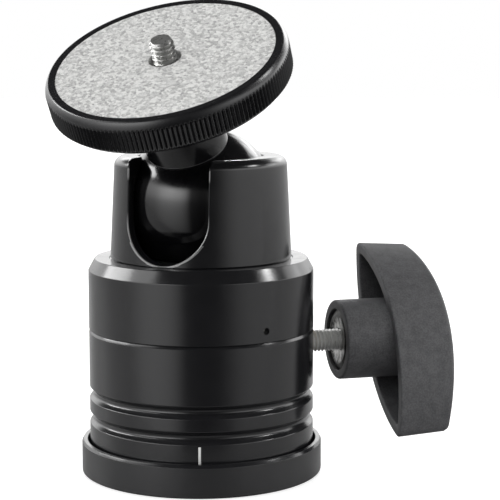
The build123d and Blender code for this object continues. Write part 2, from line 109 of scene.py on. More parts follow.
class BallHeadHousing(bpy.types.PropertyGroup):
    """Sizes of the base and both housing halves."""
    base_radius: length("Base radius", "Outer radius of the pan base", 32.2)
    base_height: length("Base height", "Height of the pan base's rim", 8.7)
    base_rim: length("Rim bevel", "Height of the bevel on the pan base's rim", 0.8)
    pivot_radius: length("Pivot radius", "Outer radius of the pivot boss", 14.5)
    body_radius: length("Body radius", "Outer radius of both housing halves", 30.0)
    seam_height: length("Seam height", "Height of the joint between the halves", 38.5)
    groove_depth: length("Groove depth", "Depth to which the flanks of both grooves run", 1.9)
    groove_half_width: length("Groove half width", "Half the width of both grooves", 1.65)
    groove_round: length("Groove round", "Rounding of the grooves' bottoms", 1.2)
    lower_groove: length("Lower groove", "Height of the lower groove", 15.0)
    upper_groove: length("Upper groove", "Height of the upper groove", 21.6)
    shoulder: length("Shoulder", "Height where the shoulder's bevel starts", 54.3)
    shoulder_bevel: length("Shoulder bevel", "Width of the shoulder's bevel", 1.75)
    neck_foot_radius: length("Neck foot", "Outer radius at the foot of the neck", 24.1)
    neck_foot: length("Neck foot height", "Height of the foot of the neck", 57.45)
    neck_top_radius: length("Neck top", "Outer radius at the top of the neck", 22.75)
    neck_top: length("Neck top height", "Height of the top of the neck", 84.6)
    neck_round: length("Neck round", "Rounding of the neck's top", 2.6)
    slot_half_width: length("Slot half width", "Half the width of the drop slot", 11.2)
    slot_arc_height: length("Slot arc height", "Height of the centre of the slot's round foot", 69.1)
    slot_edge: length("Slot edge", "Rounding of the slot's edge", 0.3)
    slot_turn: angle("Slot turn", "Turn of the slot about the upright axis", -114.5)
    lock_turn: angle("Set screw turn", "Turn of the set screw about the upright axis", -56.6)
    lock_height: length("Set screw height", "Height of the set screw", 41.6)


class BallHeadBall(bpy.types.PropertyGroup):
    """Sizes of the ball, its collar and the camera plate."""
    ball_radius: length("Ball radius", "Radius of the ball", 20.0)
    ball_height: length("Ball height", "Height of the ball's centre", 72.4)
    stem_tilt: angle("Stem tilt", "Lean of the stem towards the slot", 29.5)
    stem_radius: length("Stem radius", "Radius of the steel stem", 5.0)
    collar_radius: length("Collar radius", "Radius of the stem's collar", 10.8)
    plate_back: length("Plate back", "Distance of the plate's back from the ball's centre", 34.8)
    plate_face: length("Plate face", "Distance of the plate's lip from the ball's centre", 43.8)
    rib_radius: length("Rib radius", "Radius over the ribs of the plate's edge", 31.4)
    rib_depth: length("Rib depth", "Depth of the ribs", 0.5)
    ribs: IntProperty(name="Ribs", description="Ribs round the plate's edge", default=168)
    pad_radius: length("Pad radius", "Radius of the grip pad", 28.4)
    pad_foot: length("Pad foot", "Distance of the pad's back from the ball's centre", 42.2)
    pad_top: length("Pad top", "Distance of the pad's face from the ball's centre", 43.7)
    pad_hole: length("Pad hole", "Radius of the hole in the pad", 4.2)
    screw_radius: length("Camera screw radius", "Radius of the 1/4 inch camera screw", 3.175)
    screw_pitch: length("Camera screw pitch", "Pitch of the 1/4 inch thread", 1.27)
    screw_tip: length("Camera screw tip", "Distance of the screw's tip from the ball's centre", 49.0)


class BallHeadKnob(bpy.types.PropertyGroup):
    """Sizes of the wing knob and its screw, along the knob's axis."""
    height: length("Knob height", "Height of the knob's axis", 33.0)
    hub_face: length("Hub face", "Distance of the hub's face from the upright axis", 38.1)
    hub_radius: length("Hub radius", "Radius of the hub", 10.9)
    insert_radius: length("Insert radius", "Radius of the metal insert", 8.4)
    rim: length("Rim", "Distance of the wing's rim from the upright axis", 50.85)
    depth: length("Depth", "Depth of the wing at its middle", 16.6)
    half_length: length("Half length", "Half the wing's length", 30.8)
    half_width: length("Half width", "Half the wing's width", 12.8)
    tip_round: length("Tip round", "Rounding of the wing's tips", 2.5)
    crown_radius: length("Crown radius", "Radius of the wing's crowned face", 150.0)
    rim_radius: length("Rim curve", "Radius of the rim's slight curve", 580.0)
    wall: length("Wall", "Thickness of the wing's wall", 2.8)
    lean: angle("Lean", "Lean of the wing's long axis from upright", 36.4)
    draft: angle("Draft", "Draft of the moulded walls", 3.0)
    screw_radius: length("Clamp screw radius", "Radius of the M6 clamp screw", 3.0)
    screw_pitch: length("Clamp screw pitch", "Pitch of the M6 thread", 1.0)


class BallHeadFinish(bpy.types.PropertyGroup):
    """Colours of the finishes."""
    body: tint("Housing", "Black anodising of the housing and base", "#1b1b1d")
    ball: tint("Ball", "Black hard anodising of the ball", "#0f0f11")
    plate: tint("Plate", "Black anodising of the camera plate", "#19191b")
    # Light grey of the painted highlight line on the slot's and the collar's edges.
    edge: tint("Painted edge highlight", "Painted highlight on the edges of the slot and the collar", "#888888")
    knob: tint("Knob", "Charcoal moulded plastic", "#4d4d4f")
    pad_light: tint("Pad, light", "Light granules of the grip pad", "#dcdcda")
    pad_dark: tint("Pad, dark", "Dark granules of the grip pad", "#8c8c8c")
    steel: tint("Steel", "Machined steel", "#cacac8")
    zinc: tint("Zinc", "Zinc plating of the clamp screw", "#d4d4d2")
    nickel: tint("Nickel", "Nickel plating of the camera screw", "#acacaa")
    # Dark colour of the oil blotches, and of the painted shade towards the insert's rim.
    stain_and_shade: tint("Oil stain", "Old oil on the knob's insert, and painted shade towards its rim", "#2e2d2b")
    aluminium: tint("Aluminium", "Bare turned aluminium", "#d8d8d8")
    brass: tint("Brass", "Turned brass", "#c9a45c")
    acetal: tint("Acetal", "Black acetal", "#1d1d1e")
    ptfe: tint("PTFE", "Virgin PTFE", "#efefec")
    lining: tint("Lining", "Brake lining", "#4b4138")
    paint: tint("Mark paint", "White filling of the index mark", "#f2f2f0")


# Meshes

def rounded(corners, steps=6):
    """A section line from (x, y, round) corners, with each round drawn as an arc."""
    points, count = [], len(corners)
    for index, (x, y, radius) in enumerate(corners):
        corner = Vector((x, y))
        if radius <= 0:
            points.append((x, y))
            continue
        before = Vector(corners[index - 1][:2]) - corner
        after = Vector(corners[(index + 1) % count][:2]) - corner
        before.normalize()
        after.normalize()
        half = before.angle(after) / 2
        centre = corner + (before + after).normalized() * radius / math.sin(half)
        start = corner + before * radius / math.tan(half) - centre
        end = corner + after * radius / math.tan(half) - centre
        start.normalize()
        end.normalize()
        points += [tuple(centre + start.slerp(end, step / steps) * radius)
                   for step in range(steps + 1)]
    return points


def mesh_from(points, faces):
    """A closed, clean mesh from points in metres: doubles merged, normals outwards."""
    mesh = bpy.data.meshes.new("mesh")
    mesh.from_pydata([tuple(p) for p in points], [], [tuple(f) for f in faces])
    tidy(mesh)
    return mesh


def tidy(mesh):
    """Merges doubled points, drops faces without area, turns normals outwards, smooths."""
    work = bmesh.new()
    work.from_mesh(mesh)
    bmesh.ops.remove_doubles(work, verts=work.verts, dist=1e-6)
    bmesh.ops.dissolve_degenerate(work, edges=work.edges, dist=1e-7)
    bmesh.ops.recalc_face_normals(work, faces=work.faces)
    work.to_mesh(mesh)
    work.free()
    mesh.shade_smooth()
    mesh.set_sharp_from_angle(angle=SHARP_EDGE)


def grid_faces(rows, columns, closed_rows, closed_columns):
    """Quads of a grid whose points are numbered row by row."""
    faces = []
    for row in range(rows if closed_rows else rows - 1):
        for column in range(columns if closed_columns else columns - 1):
            next_row, next_column = (row + 1) % rows, (column + 1) % columns
            faces.append((row * columns + column, row * columns + next_column,
                          next_row * columns + next_column, next_row * columns + column))
    return faces


def around(radius, height, spin):
    """Points all round local Z, at one radius or one each, and at one height."""
    return np.stack([radius * np.cos(spin), radius * np.sin(spin), np.full(len(spin), height)], 1)


def turned(section, turns=256, closed=True):
    """A lathe-turned solid: a section of (radius, height) points turned about local Z."""
    spin = np.arange(turns) * 2 * math.pi / turns
    rows = [around(radius, height, spin) for radius, height in section]
    return mesh_from(np.concatenate(rows), grid_faces(len(rows), turns, closed, True))


def add_piece(name, mesh, body, stands_for, slot, place=UPRIGHT, finish=None):
    """Adds a piece at its place, riding on its body, in its finish, instead of a CAD node."""
    mesh.name = name
    mesh.transform(place)
    piece = bpy.data.objects.new(name, mesh)
    bpy.context.scene.collection.objects.link(piece)
    mesh.materials.clear()
    mesh.materials.append(finish_for(finish or slot, place))
    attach(piece, body)
    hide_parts(stands_for)
    even = piece.modifiers.new("Even normals", "WEIGHTED_NORMAL")
    even.keep_sharp = True
    even.weight = 90
    return piece


def rub(piece, on_edge, finish="painted_edge_highlight"):
    """Gives the faces on an edge another finish: a light grey painted highlight line, or anodising
    turned brighter.
    """
    piece.data.materials.append(finish_for(finish, UPRIGHT))
    for face in piece.data.polygons:
        if on_edge(face.center):
            face.material_index = 1


def combined(mesh, cutter, how):
    """The mesh after a boolean with a cutter mesh, both in one frame."""
    collection = bpy.context.scene.collection.objects
    target = bpy.data.objects.new("boolean target", mesh)
    tool = bpy.data.objects.new("boolean tool", cutter)
    collection.link(target)
    collection.link(tool)
    step = target.modifiers.new("Cut", "BOOLEAN")
    step.operation = how
    step.solver = "EXACT"
    step.object = tool
    graph = bpy.context.evaluated_depsgraph_get()
    result = bpy.data.meshes.new_from_object(target.evaluated_get(graph))
    bpy.data.objects.remove(target)
    bpy.data.objects.remove(tool)
    tidy(result)
    return result


def rod(radius, bottom, top, rounds=(0, 0), steps=4, turns=96):
    """A round rod about local Z, with the edges of its ends rounded."""
    return turned(rounded([(0, bottom, 0), (radius, bottom, rounds[0]), (radius, top, rounds[1]),
                           (0, top, 0)], steps), turns, False)


def drilled(mesh, radius, bottom, top, place, turns=96):
    """The mesh with a round hole along the place's Z."""
    drill = rod(radius, bottom, top, turns=turns)
    drill.transform(place)
    return combined(mesh, drill, "DIFFERENCE")


# A 60 degree thread: its depth in pitches, and the parts of the way from the root's middle to
# the crest's middle that its root's flat and its flank take.
THREAD_DEPTH = 0.54
ROOT_FLAT = 0.14
FLANK = 0.74


def threaded(radius, pitch, bottom, top, cone=0.0, columns=72, rows_a_turn=12, inside=None):
    """A threaded rod about local Z, or the thread inside a bore when inside gives its outer
    section. Over the depth of its cone the thread runs out at the rod's tip."""
    steps = max(int((top - bottom) / pitch * rows_a_turn), 2)
    turn = np.arange(columns) / columns
    heights = np.linspace(bottom, top, steps + 1)
    climb = abs((heights[:, None] / pitch - turn) % 1.0 * 2 - 1)
    wave = np.clip((climb - ROOT_FLAT) / FLANK, 0, 1)
    radii = radius - THREAD_DEPTH * pitch * (wave if inside else 1 - wave)
    if cone:
        radii = np.minimum(radii, radius - cone + top - heights[:, None])
    rows = list(zip(radii, heights))
    rows = [*rows, *inside] if inside else [(0, bottom), *rows, (0, top)]
    points = [around(r, z, 2 * math.pi * turn) for r, z in rows]
    return mesh_from(np.concatenate(points), grid_faces(len(rows), columns, bool(inside), True))


# Materials

# Nearly all of a noise texture's values lie between these.
MOST_NOISE = {"From Min": 0.3, "From Max": 0.7}


def result(node):
    """A node's result: the first of its outputs that is in use."""
    return next(output for output in node.outputs if output.enabled)


def add(tree, kind, inputs=None, into=None, **settings):
    """Adds a node with its settings, gives each input a value, or a link from a socket or a
    node's result, and links its own result into a socket."""
    made = tree.nodes.new(kind)
    for key, value in settings.items():
        setattr(made, key, value)
    for key, value in (inputs or {}).items():
        if isinstance(value, bpy.types.Node):
            value = result(value)
        if isinstance(value, bpy.types.NodeSocket):
            tree.links.new(value, made.inputs[key])
        else:
            made.inputs[key].default_value = value
    if into:
        tree.links.new(result(made), into)
    return made


def tone(colour, factor=1.0):
    """A colour with its alpha, made lighter or darker by a factor."""
    return (*[min(factor * value, 1) for value in colour], 1)


def start_material(name, colour, roughness, axis, metallic=0.0, ior=1.5):
    """A material with its shader's even values set: with it come its node tree, its shader's
    sockets, and coordinates whose Z is the axis that the piece was turned about."""
    material = bpy.data.materials.new(name)
    material.use_nodes = True
    tree = material.node_tree
    sockets = tree.nodes["Principled BSDF"].inputs
    sockets["Base Color"].default_value = tone(colour)
    sockets["Roughness"].default_value = roughness
    sockets["Metallic"].default_value = metallic
    if metallic == 0:
        sockets["IOR"].default_value = ior
    spot = add(tree, "ShaderNodeTexCoord").outputs["Object"]
    place = add(tree, "ShaderNodeMapping", {"Vector": spot, "Location": axis.translation,
                                            "Rotation": axis.to_euler()}, vector_type="TEXTURE")
    return material, tree, sockets, place


def from_axis(tree, place):
    """The distance from the turning axis, and the height along it."""
    parts = add(tree, "ShaderNodeSeparateXYZ", {0: place})
    across = add(tree, "ShaderNodeCombineXYZ", {0: parts.outputs[0], 1: parts.outputs[1]})
    radius = add(tree, "ShaderNodeVectorMath", {0: across}, operation="LENGTH")
    return radius, parts.outputs[2]


def lathe_lines(tree, place, spacing, detail):
    """Fine noise that only changes across the lathe's lines."""
    radius, height = from_axis(tree, place)
    pair = add(tree, "ShaderNodeCombineXYZ", {0: radius, 1: height})
    scaled = add(tree, "ShaderNodeVectorMath", {0: pair, "Scale": 1 / spacing}, operation="SCALE")
    return add(tree, "ShaderNodeTexNoise", {"Vector": scaled, "Scale": 1.0, "Detail": detail})


def turned_metal(name, axis, colour, roughness):
    """A lathe-turned surface. Real turning lines lie about 0.08 mm apart; they are drawn
    0.25 mm apart so that they show as a faint silky streak along the turning."""
    material, tree, sockets, place = start_material(name, colour, roughness, axis, 1.0)
    lines = lathe_lines(tree, place, 0.25 * MM, 3.0)
    cloud = add(tree, "ShaderNodeTexNoise", {"Vector": place, "Scale": 1 / (6 * MM), "Detail": 4.0})
    add(tree, "ShaderNodeMapRange", {"Value": cloud, **MOST_NOISE, "To Min": roughness - 0.05,
                                     "To Max": roughness + 0.05}, sockets["Roughness"])
    add(tree, "ShaderNodeBump", {"Height": lines, "Distance": 0.0006 * MM}, sockets["Normal"])
    return material


def plated_steel(name, axis, colour, roughness, metallic):
    """Plating on rolled threads: a soft grey metal, dull enough to look light all round."""
    material, tree, sockets, place = start_material(name, colour, roughness, axis, metallic)
    cloud = add(tree, "ShaderNodeTexNoise", {"Vector": place, "Scale": 1 / (0.8 * MM), "Detail": 4.0})
    add(tree, "ShaderNodeMapRange", {"Value": cloud, **MOST_NOISE, "To Min": roughness - 0.08,
                                     "To Max": roughness + 0.1}, sockets["Roughness"])
    add(tree, "ShaderNodeBump", {"Height": cloud, "Distance": 0.012 * MM}, sockets["Normal"])
    return material


def stained_metal_with_rim_shade(name, axis, colour, stain):
    """Turned steel with old oil and dust baked on in blotches, so that it shines in patches only,
    and painted shade that makes it darkest towards its rim."""
    material, tree, sockets, place = start_material(name, colour, 0.35, axis, 0.85)
    radius, _ = from_axis(tree, place)
    blotch = add(tree, "ShaderNodeTexNoise", {"Vector": place, "Scale": 1 / (1.6 * MM), "Detail": 5.0})
    # Painted shade: the stain colour grows towards the insert's rim, so the rim looks darker.
    rim = add(tree, "ShaderNodeMapRange", {"Value": radius, "From Min": 4.5 * MM, "From Max": 8.0 * MM,
                                           "To Min": 0.3, "To Max": 0.85})
    both = add(tree, "ShaderNodeMath", {0: blotch, 1: rim})
    # The oil blotches and the painted shade at the rim, as one mix factor for the stain colour.
    stain_and_rim_shade = add(tree, "ShaderNodeMapRange", {"Value": both, "From Min": 0.68, "From Max": 1.08})
    add(tree, "ShaderNodeMix", {"Factor": stain_and_rim_shade, "A": tone(colour), "B": tone(stain)},
        sockets["Base Color"], data_type="RGBA")
    add(tree, "ShaderNodeMapRange", {"Value": blotch, **MOST_NOISE, "To Min": 0.3, "To Max": 0.5},
        sockets["Roughness"])
    add(tree, "ShaderNodeBump", {"Height": blotch, "Distance": 0.06 * MM}, sockets["Normal"])
    return material


def anodised_black(name, axis, colour, roughness, ior=1.52):
    """Black anodised aluminium, turned, bead blasted and dyed: a satin skin like a dark
    glaze that gives soft, slightly grained reflections and bright lines on its edges."""
    material, tree, sockets, place = start_material(name, colour, roughness, axis, 0.0, ior)
    # Turning lines lie about 0.1 mm apart; drawn 0.3 mm apart so that they show.
    lines = lathe_lines(tree, place, 0.3 * MM, 2.0)
    # Bead blasting leaves dimples about 0.1 mm wide; drawn 0.2 mm wide so that they show.
    dimples = add(tree, "ShaderNodeTexNoise", {"Vector": place, "Scale": 1 / (0.2 * MM), "Detail": 2.0})
    both = add(tree, "ShaderNodeMix", {"Factor": 0.7, "A": lines, "B": dimples})
    add(tree, "ShaderNodeBump", {"Height": both, "Distance": 0.0035 * MM}, sockets["Normal"])
    cloud = add(tree, "ShaderNodeTexNoise", {"Vector": place, "Scale": 1 / (4 * MM), "Detail": 5.0})
    add(tree, "ShaderNodeMapRange", {"Value": cloud, **MOST_NOISE, "To Min": roughness - 0.03,
                                     "To Max": roughness + 0.03}, sockets["Roughness"])
    add(tree, "ShaderNodeMix", {"Factor": cloud, "A": tone(colour, 0.85), "B": tone(colour, 1.15)},
        sockets["Base Color"], data_type="RGBA")
    return material


def painted_edge_highlight(name, axis, colour, black):
    """A painted highlight on the anodised edge: a dull grey line that stays light in any light, in place
    of the edge's highlights.
    The slot's upright edges get it least, so the grey fades to black from 66 to 71 mm
    high, and is whole again from 80 mm, on the stem's collar."""
    material, tree, sockets, place = start_material(name, colour, 0.4, axis, 0.6)
    wear = add(tree, "ShaderNodeTexNoise", {"Vector": place, "Scale": 1 / (1.5 * MM), "Detail": 4.0})
    add(tree, "ShaderNodeMapRange", {"Value": wear, **MOST_NOISE, "To Min": 0.3, "To Max": 0.5},
        sockets["Roughness"])
    height = add(tree, "ShaderNodeSeparateXYZ", {0: place}).outputs[2]
    # Where the painted highlight gives way to the anodising's black, by height.
    fade = add(tree, "ShaderNodeMapRange", {"Value": height, "From Min": 66 * MM, "From Max": 71 * MM})
    below = add(tree, "ShaderNodeMapRange", {"Value": height, "From Min": 79 * MM,
                                             "From Max": 80 * MM, "To Min": 1.0, "To Max": 0.0})
    least = add(tree, "ShaderNodeMath", {0: fade, 1: below}, operation="MULTIPLY")
    add(tree, "ShaderNodeMix", {"Factor": least, "A": tone(colour), "B": tone(black)},
        sockets["Base Color"], data_type="RGBA")
    return material


def moulded_plastic(name, axis, colour):
    """Charcoal glass-filled nylon, moulded in a spark-eroded tool: a dry matt skin with a
    fine mottled grain and no clear reflections. Real grain is about 0.1 mm; drawn coarser."""
    material, tree, sockets, place = start_material(name, colour, 0.58, axis)
    grain = add(tree, "ShaderNodeTexNoise", {"Vector": place, "Scale": 1 / (0.45 * MM), "Detail": 3.0})
    cloud = add(tree, "ShaderNodeTexNoise", {"Vector": place, "Scale": 1 / (2.5 * MM), "Detail": 5.0})
    add(tree, "ShaderNodeBump", {"Height": grain, "Distance": 0.06 * MM, "Strength": 0.7},
        sockets["Normal"])
    add(tree, "ShaderNodeMapRange", {"Value": grain, **MOST_NOISE, "To Min": 0.45, "To Max": 0.65},
        sockets["Roughness"])
    both = add(tree, "ShaderNodeMix", {"Factor": 0.35, "A": grain, "B": cloud})
    spread = add(tree, "ShaderNodeMapRange", {"Value": both, "From Min": 0.38, "From Max": 0.62})
    add(tree, "ShaderNodeMix", {"Factor": spread, "A": tone(colour, 0.72), "B": tone(colour, 1.34)},
        sockets["Base Color"], data_type="RGBA")
    return material


def cork_rubber(name, axis, light, dark):
    """Pale cork and rubber granules pressed to a sheet and sanded: 0.75 mm granules in
    slightly different greys, a dry surface with shallow pits between them."""
    material, tree, sockets, place = start_material(name, light, 0.85, axis, 0.0, 1.45)
    bend = add(tree, "ShaderNodeTexNoise", {"Vector": place, "Scale": 1 / (0.9 * MM), "Detail": 2.0})
    moved = add(tree, "ShaderNodeVectorMath", {0: bend.outputs["Color"], 1: [0.5 * MM] * 3, 2: place},
                operation="MULTIPLY_ADD")
    granules = {"Vector": moved, "Scale": 1 / (0.75 * MM)}
    cells = add(tree, "ShaderNodeTexVoronoi", granules)
    gaps = add(tree, "ShaderNodeTexVoronoi", granules, feature="DISTANCE_TO_EDGE")
    fine = add(tree, "ShaderNodeTexNoise", {"Vector": place, "Scale": 1 / (0.35 * MM), "Detail": 4.0})
    both = add(tree, "ShaderNodeMix", {"Factor": 0.62, "A": cells.outputs["Color"],
                                       "B": fine.outputs["Color"]}, data_type="RGBA")
    grey = add(tree, "ShaderNodeRGBToBW", {0: both})
    spread = add(tree, "ShaderNodeMapRange", {"Value": grey, "From Min": 0.28, "From Max": 0.62})
    add(tree, "ShaderNodeMix", {"Factor": spread, "A": tone(dark), "B": tone(light)},
        sockets["Base Color"], data_type="RGBA")
    edge = add(tree, "ShaderNodeMapRange", {"Value": gaps, "From Max": 0.15})
    height = add(tree, "ShaderNodeMath", {0: edge, 1: fine}, operation="MULTIPLY")
    add(tree, "ShaderNodeBump", {"Height": height, "Distance": 0.08 * MM, "Strength": 0.7},
        sockets["Normal"])
    return material


def plain_polymer(name, axis, colour, roughness, grain_size, grain_depth):
    """A turned or pressed engineering plastic: an even colour with faint machining grain."""
    material, tree, sockets, place = start_material(name, colour, roughness, axis)
    grain = add(tree, "ShaderNodeTexNoise", {"Vector": place, "Scale": 1 / grain_size, "Detail": 4.0})
    add(tree, "ShaderNodeBump", {"Height": grain, "Distance": grain_depth}, sockets["Normal"])
    add(tree, "ShaderNodeMix", {"Factor": grain, "A": tone(colour, 0.88), "B": tone(colour, 1.06)},
        sockets["Base Color"], data_type="RGBA")
    return material


# Each finish: its name, the function that makes it, the colours that it takes, and its
# roughness, its IOR or metallic value, and its grain's size and depth, as far as it takes them.
FINISHES = {
    "anodised": ("Black anodised aluminium, blasted", anodised_black, ["body"], [0.20]),
    "base_finish": ("Black anodised aluminium, blasted coarse", anodised_black, ["body"], [0.34, 1.56]),
    "ball_finish": ("Black hard anodised aluminium, polished", anodised_black, ["ball"], [0.14, 1.56]),
    "plate_finish": ("Black anodised aluminium, turned", anodised_black, ["plate"], [0.26]),
    # A light grey painted highlight line on the edges of the slot and the collar.
    "painted_edge_highlight": ("Black anodised aluminium, edge rubbed thin", painted_edge_highlight, ["edge", "body"], []),
    "bare_aluminium": ("Bare aluminium, turned", turned_metal, ["aluminium"], [0.3]),
    "steel": ("Steel, turned", turned_metal, ["steel"], [0.24]),
    "screw_finish": ("Steel, thread rolled and zinc plated", plated_steel, ["zinc"], [0.4, 0.55]),
    "camera_screw_finish": ("Steel, thread rolled and nickel plated", plated_steel, ["nickel"],
                            [0.3, 0.8]),
    # Oil blotches, and painted shade towards the insert's rim.
    "insert_finish": ("Steel, turned and oil stained", stained_metal_with_rim_shade, ["steel", "stain_and_shade"], []),
    "brass": ("Brass, turned", turned_metal, ["brass"], [0.25]),
    "acetal": ("Acetal, turned", plain_polymer, ["acetal"], [0.4, 0.3 * MM, 0.003 * MM]),
    "ptfe": ("PTFE, skived", plain_polymer, ["ptfe"], [0.5, 0.4 * MM, 0.003 * MM]),
    "lining": ("Brake lining, pressed", plain_polymer, ["lining"], [0.8, 0.5 * MM, 0.03 * MM]),
    "knob_plastic": ("Glass-filled nylon, moulded", moulded_plastic, ["knob"], []),
    "pad_cork": ("Cork rubber, sanded", cork_rubber, ["pad_light", "pad_dark"], []),
    "mark_paint": ("White paint, filled", plain_polymer, ["paint"], [0.45, 0.3 * MM, 0.004 * MM]),
}


def finish_for(finish, axis):
    """The material of a finish, made once, or once for each axis where a lathe left its lines."""
    label, make, tints, values = FINISHES[finish]
    turn = ".".join(f"{math.degrees(a):.0f}" for a in axis.to_euler())
    name = f"{label}, axis {turn}" if make in (anodised_black, turned_metal, stained_metal_with_rim_shade) else label
    colours = bpy.context.scene.ball_head_finish
    return bpy.data.materials.get(name) or make(
        name, axis, *[getattr(colours, tint_name) for tint_name in tints], *values)


# Places

def stem_place(context):
    """The ball's centre, with local Z along the stem."""
    housing, ball = context.scene.ball_head_housing, context.scene.ball_head_ball
    return (Matrix.Translation((0, 0, ball.ball_height)) @ Matrix.Rotation(housing.slot_turn, 4, "Z")
            @ Matrix.Rotation(ball.stem_tilt, 4, "Y"))


def knob_place(context):
    """The upright axis at the knob's height, with local Z along the knob's axis and local X down."""
    axis = next(j["axis"] for j in frame["joints"] if j["name"] == "knob_turn")
    turn = math.atan2(axis[1], axis[0])
    height = context.scene.ball_head_knob.height
    return (Matrix.Translation((0, 0, height)) @ Matrix.Rotation(turn, 4, "Z")
            @ Matrix.Rotation(math.pi / 2, 4, "Y"))


# Pieces

class BALLHEAD_OT_base(bpy.types.Operator):
    """Builds the pan base, a turned cup with a pivot boss"""
    bl_idname = "ball_head.base"
    bl_label = "Pan base"

    insert_bore, cup_radius, cup_floor = 7.53 * MM, 30.6 * MM, 3.2 * MM
    bevel_slant = 0.55

    def execute(self, context):
        sizes = context.scene.ball_head_housing
        low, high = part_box("pan_base")
        outside, top, pivot = sizes.base_radius, sizes.base_height, sizes.pivot_radius
        bevel = top - sizes.base_rim
        section = rounded([
            (self.insert_bore, low.z, 0.15 * MM), (outside, low.z, 0.4 * MM),
            (outside, bevel, 0.2 * MM),
            (outside - self.bevel_slant * sizes.base_rim, top - 0.05 * MM, 0.12 * MM),
            (self.cup_radius, top, 0.3 * MM), (self.cup_radius, self.cup_floor, 0.5 * MM),
            (pivot, self.cup_floor, 0.4 * MM), (pivot, high.z, 0.3 * MM),
            (self.insert_bore, high.z, 0.2 * MM)], 8)
        piece = add_piece("pan_base_cup", turned(section, 320), "base", "pan_base", "anodised",
                          finish="base_finish")
        rub(piece, lambda at: at.z > bevel, "anodised")
        return {"FINISHED"}


class BALLHEAD_OT_tripod_insert(bpy.types.Operator):
    """Builds the steel insert with its 3/8 inch tripod thread"""
    bl_idname = "ball_head.tripod_insert"
    bl_label = "Tripod insert"

    thread_radius, pitch = 4.7625 * MM, 1.5875 * MM
    bore, sleeve_radius, head_radius, head_height = 5.2 * MM, 7.5 * MM, 8.6 * MM, 1.5 * MM

    def execute(self, context):
        low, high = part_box("tripod_insert")
        under_head = high.z - self.head_height
        outside = rounded([
            (self.bore, high.z, 0), (self.head_radius, high.z, 0.25 * MM),
            (self.head_radius, under_head, 0), (self.sleeve_radius, under_head, 0),
            (self.sleeve_radius, low.z, 0.3 * MM), (self.bore, low.z, 0)], 4)
        mesh = threaded(self.thread_radius, self.pitch, low.z, high.z, inside=outside)
        add_piece("tripod_insert_thread", mesh, "base", "tripod_insert", "steel")
        return {"FINISHED"}


class BALLHEAD_OT_lower_housing(bpy.types.Operator):
    """Builds the housing's lower half with its grooves, and the index mark"""
    bl_idname = "ball_head.lower_housing"
    bl_label = "Lower housing"

    spigot_radius, plunger_bore, wedge_bore = 26 * MM, 6.58 * MM, 4.58 * MM
    wedge_bore_ends = -18.5 * MM, 31 * MM
    recess_radius, recess_foot, recess_top = 22 * MM, 8 * MM, 18.6 * MM
    mark_turn = math.radians(-91.1)
    mark_foot, mark_gap, mark_half_width = 8.4 * MM, 0.45 * MM, 0.36 * MM
    mark_depth, mark_rise, mark_sink = 0.3 * MM, 0.012 * MM, 0.02 * MM
    mark_columns = 9

    def execute(self, context):
        sizes = context.scene.ball_head_housing
        body, seam = sizes.body_radius, sizes.seam_height
        depth, width = sizes.groove_depth, sizes.groove_half_width
        low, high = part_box("lower_housing")
        corners = [(self.spigot_radius, low.z, 0), (body - 0.5 * MM, low.z, 0.12 * MM),
                   (body, low.z + 0.5 * MM, 0.12 * MM)]
        for height in (sizes.lower_groove, sizes.upper_groove):
            corners += [(body, height - width, 0.4 * MM), (body - depth, height, sizes.groove_round),
                        (body, height + width, 0.4 * MM)]
        corners += [
            (body, seam - 0.75 * MM, 0.1 * MM), (body - 0.38 * MM, seam, 0.12 * MM),
            (self.spigot_radius, seam, 0), (self.spigot_radius, high.z, 0.3 * MM),
            (self.plunger_bore, high.z, 0.2 * MM), (self.plunger_bore, self.recess_top, 0.2 * MM),
            (self.recess_radius, self.recess_top, 0.4 * MM), (self.recess_radius, self.recess_foot, 0),
            (self.spigot_radius, self.recess_foot, 0)]
        mesh = drilled(turned(rounded(corners, 5), 320), self.wedge_bore, *self.wedge_bore_ends,
                       knob_place(context))
        add_piece("lower_housing_body", mesh, "housing", "lower_housing", "anodised")
        self.add_mark(sizes)
        return {"FINISHED"}

    def add_mark(self, sizes):
        """The index mark is a thin filled line that follows the housing's side. It sinks a
        little towards its long edges, as paint does in a groove."""
        inner, outer = sizes.body_radius - self.mark_depth, sizes.body_radius + self.mark_rise
        foot, top = self.mark_foot, sizes.lower_groove - sizes.groove_half_width - self.mark_gap
        section = rounded([(inner, foot, 0), (outer, foot, 0.06 * MM), (outer, top, 0.06 * MM),
                           (inner, top, 0)], 3)
        points = []
        for share in np.linspace(-1, 1, self.mark_columns):
            spin = self.mark_turn + self.mark_half_width / sizes.body_radius * share
            for radius, z in section:
                radius -= self.mark_sink * share ** 6 if radius > inner else 0
                points.append((radius * math.cos(spin), radius * math.sin(spin), z))
        count = len(section)
        faces = grid_faces(self.mark_columns, count, False, True)
        faces += [tuple(range(count)), tuple(range(len(points) - count, len(points)))]
        add_piece("index_mark_line", mesh_from(points, faces), "housing", "index_mark", "mark_paint")


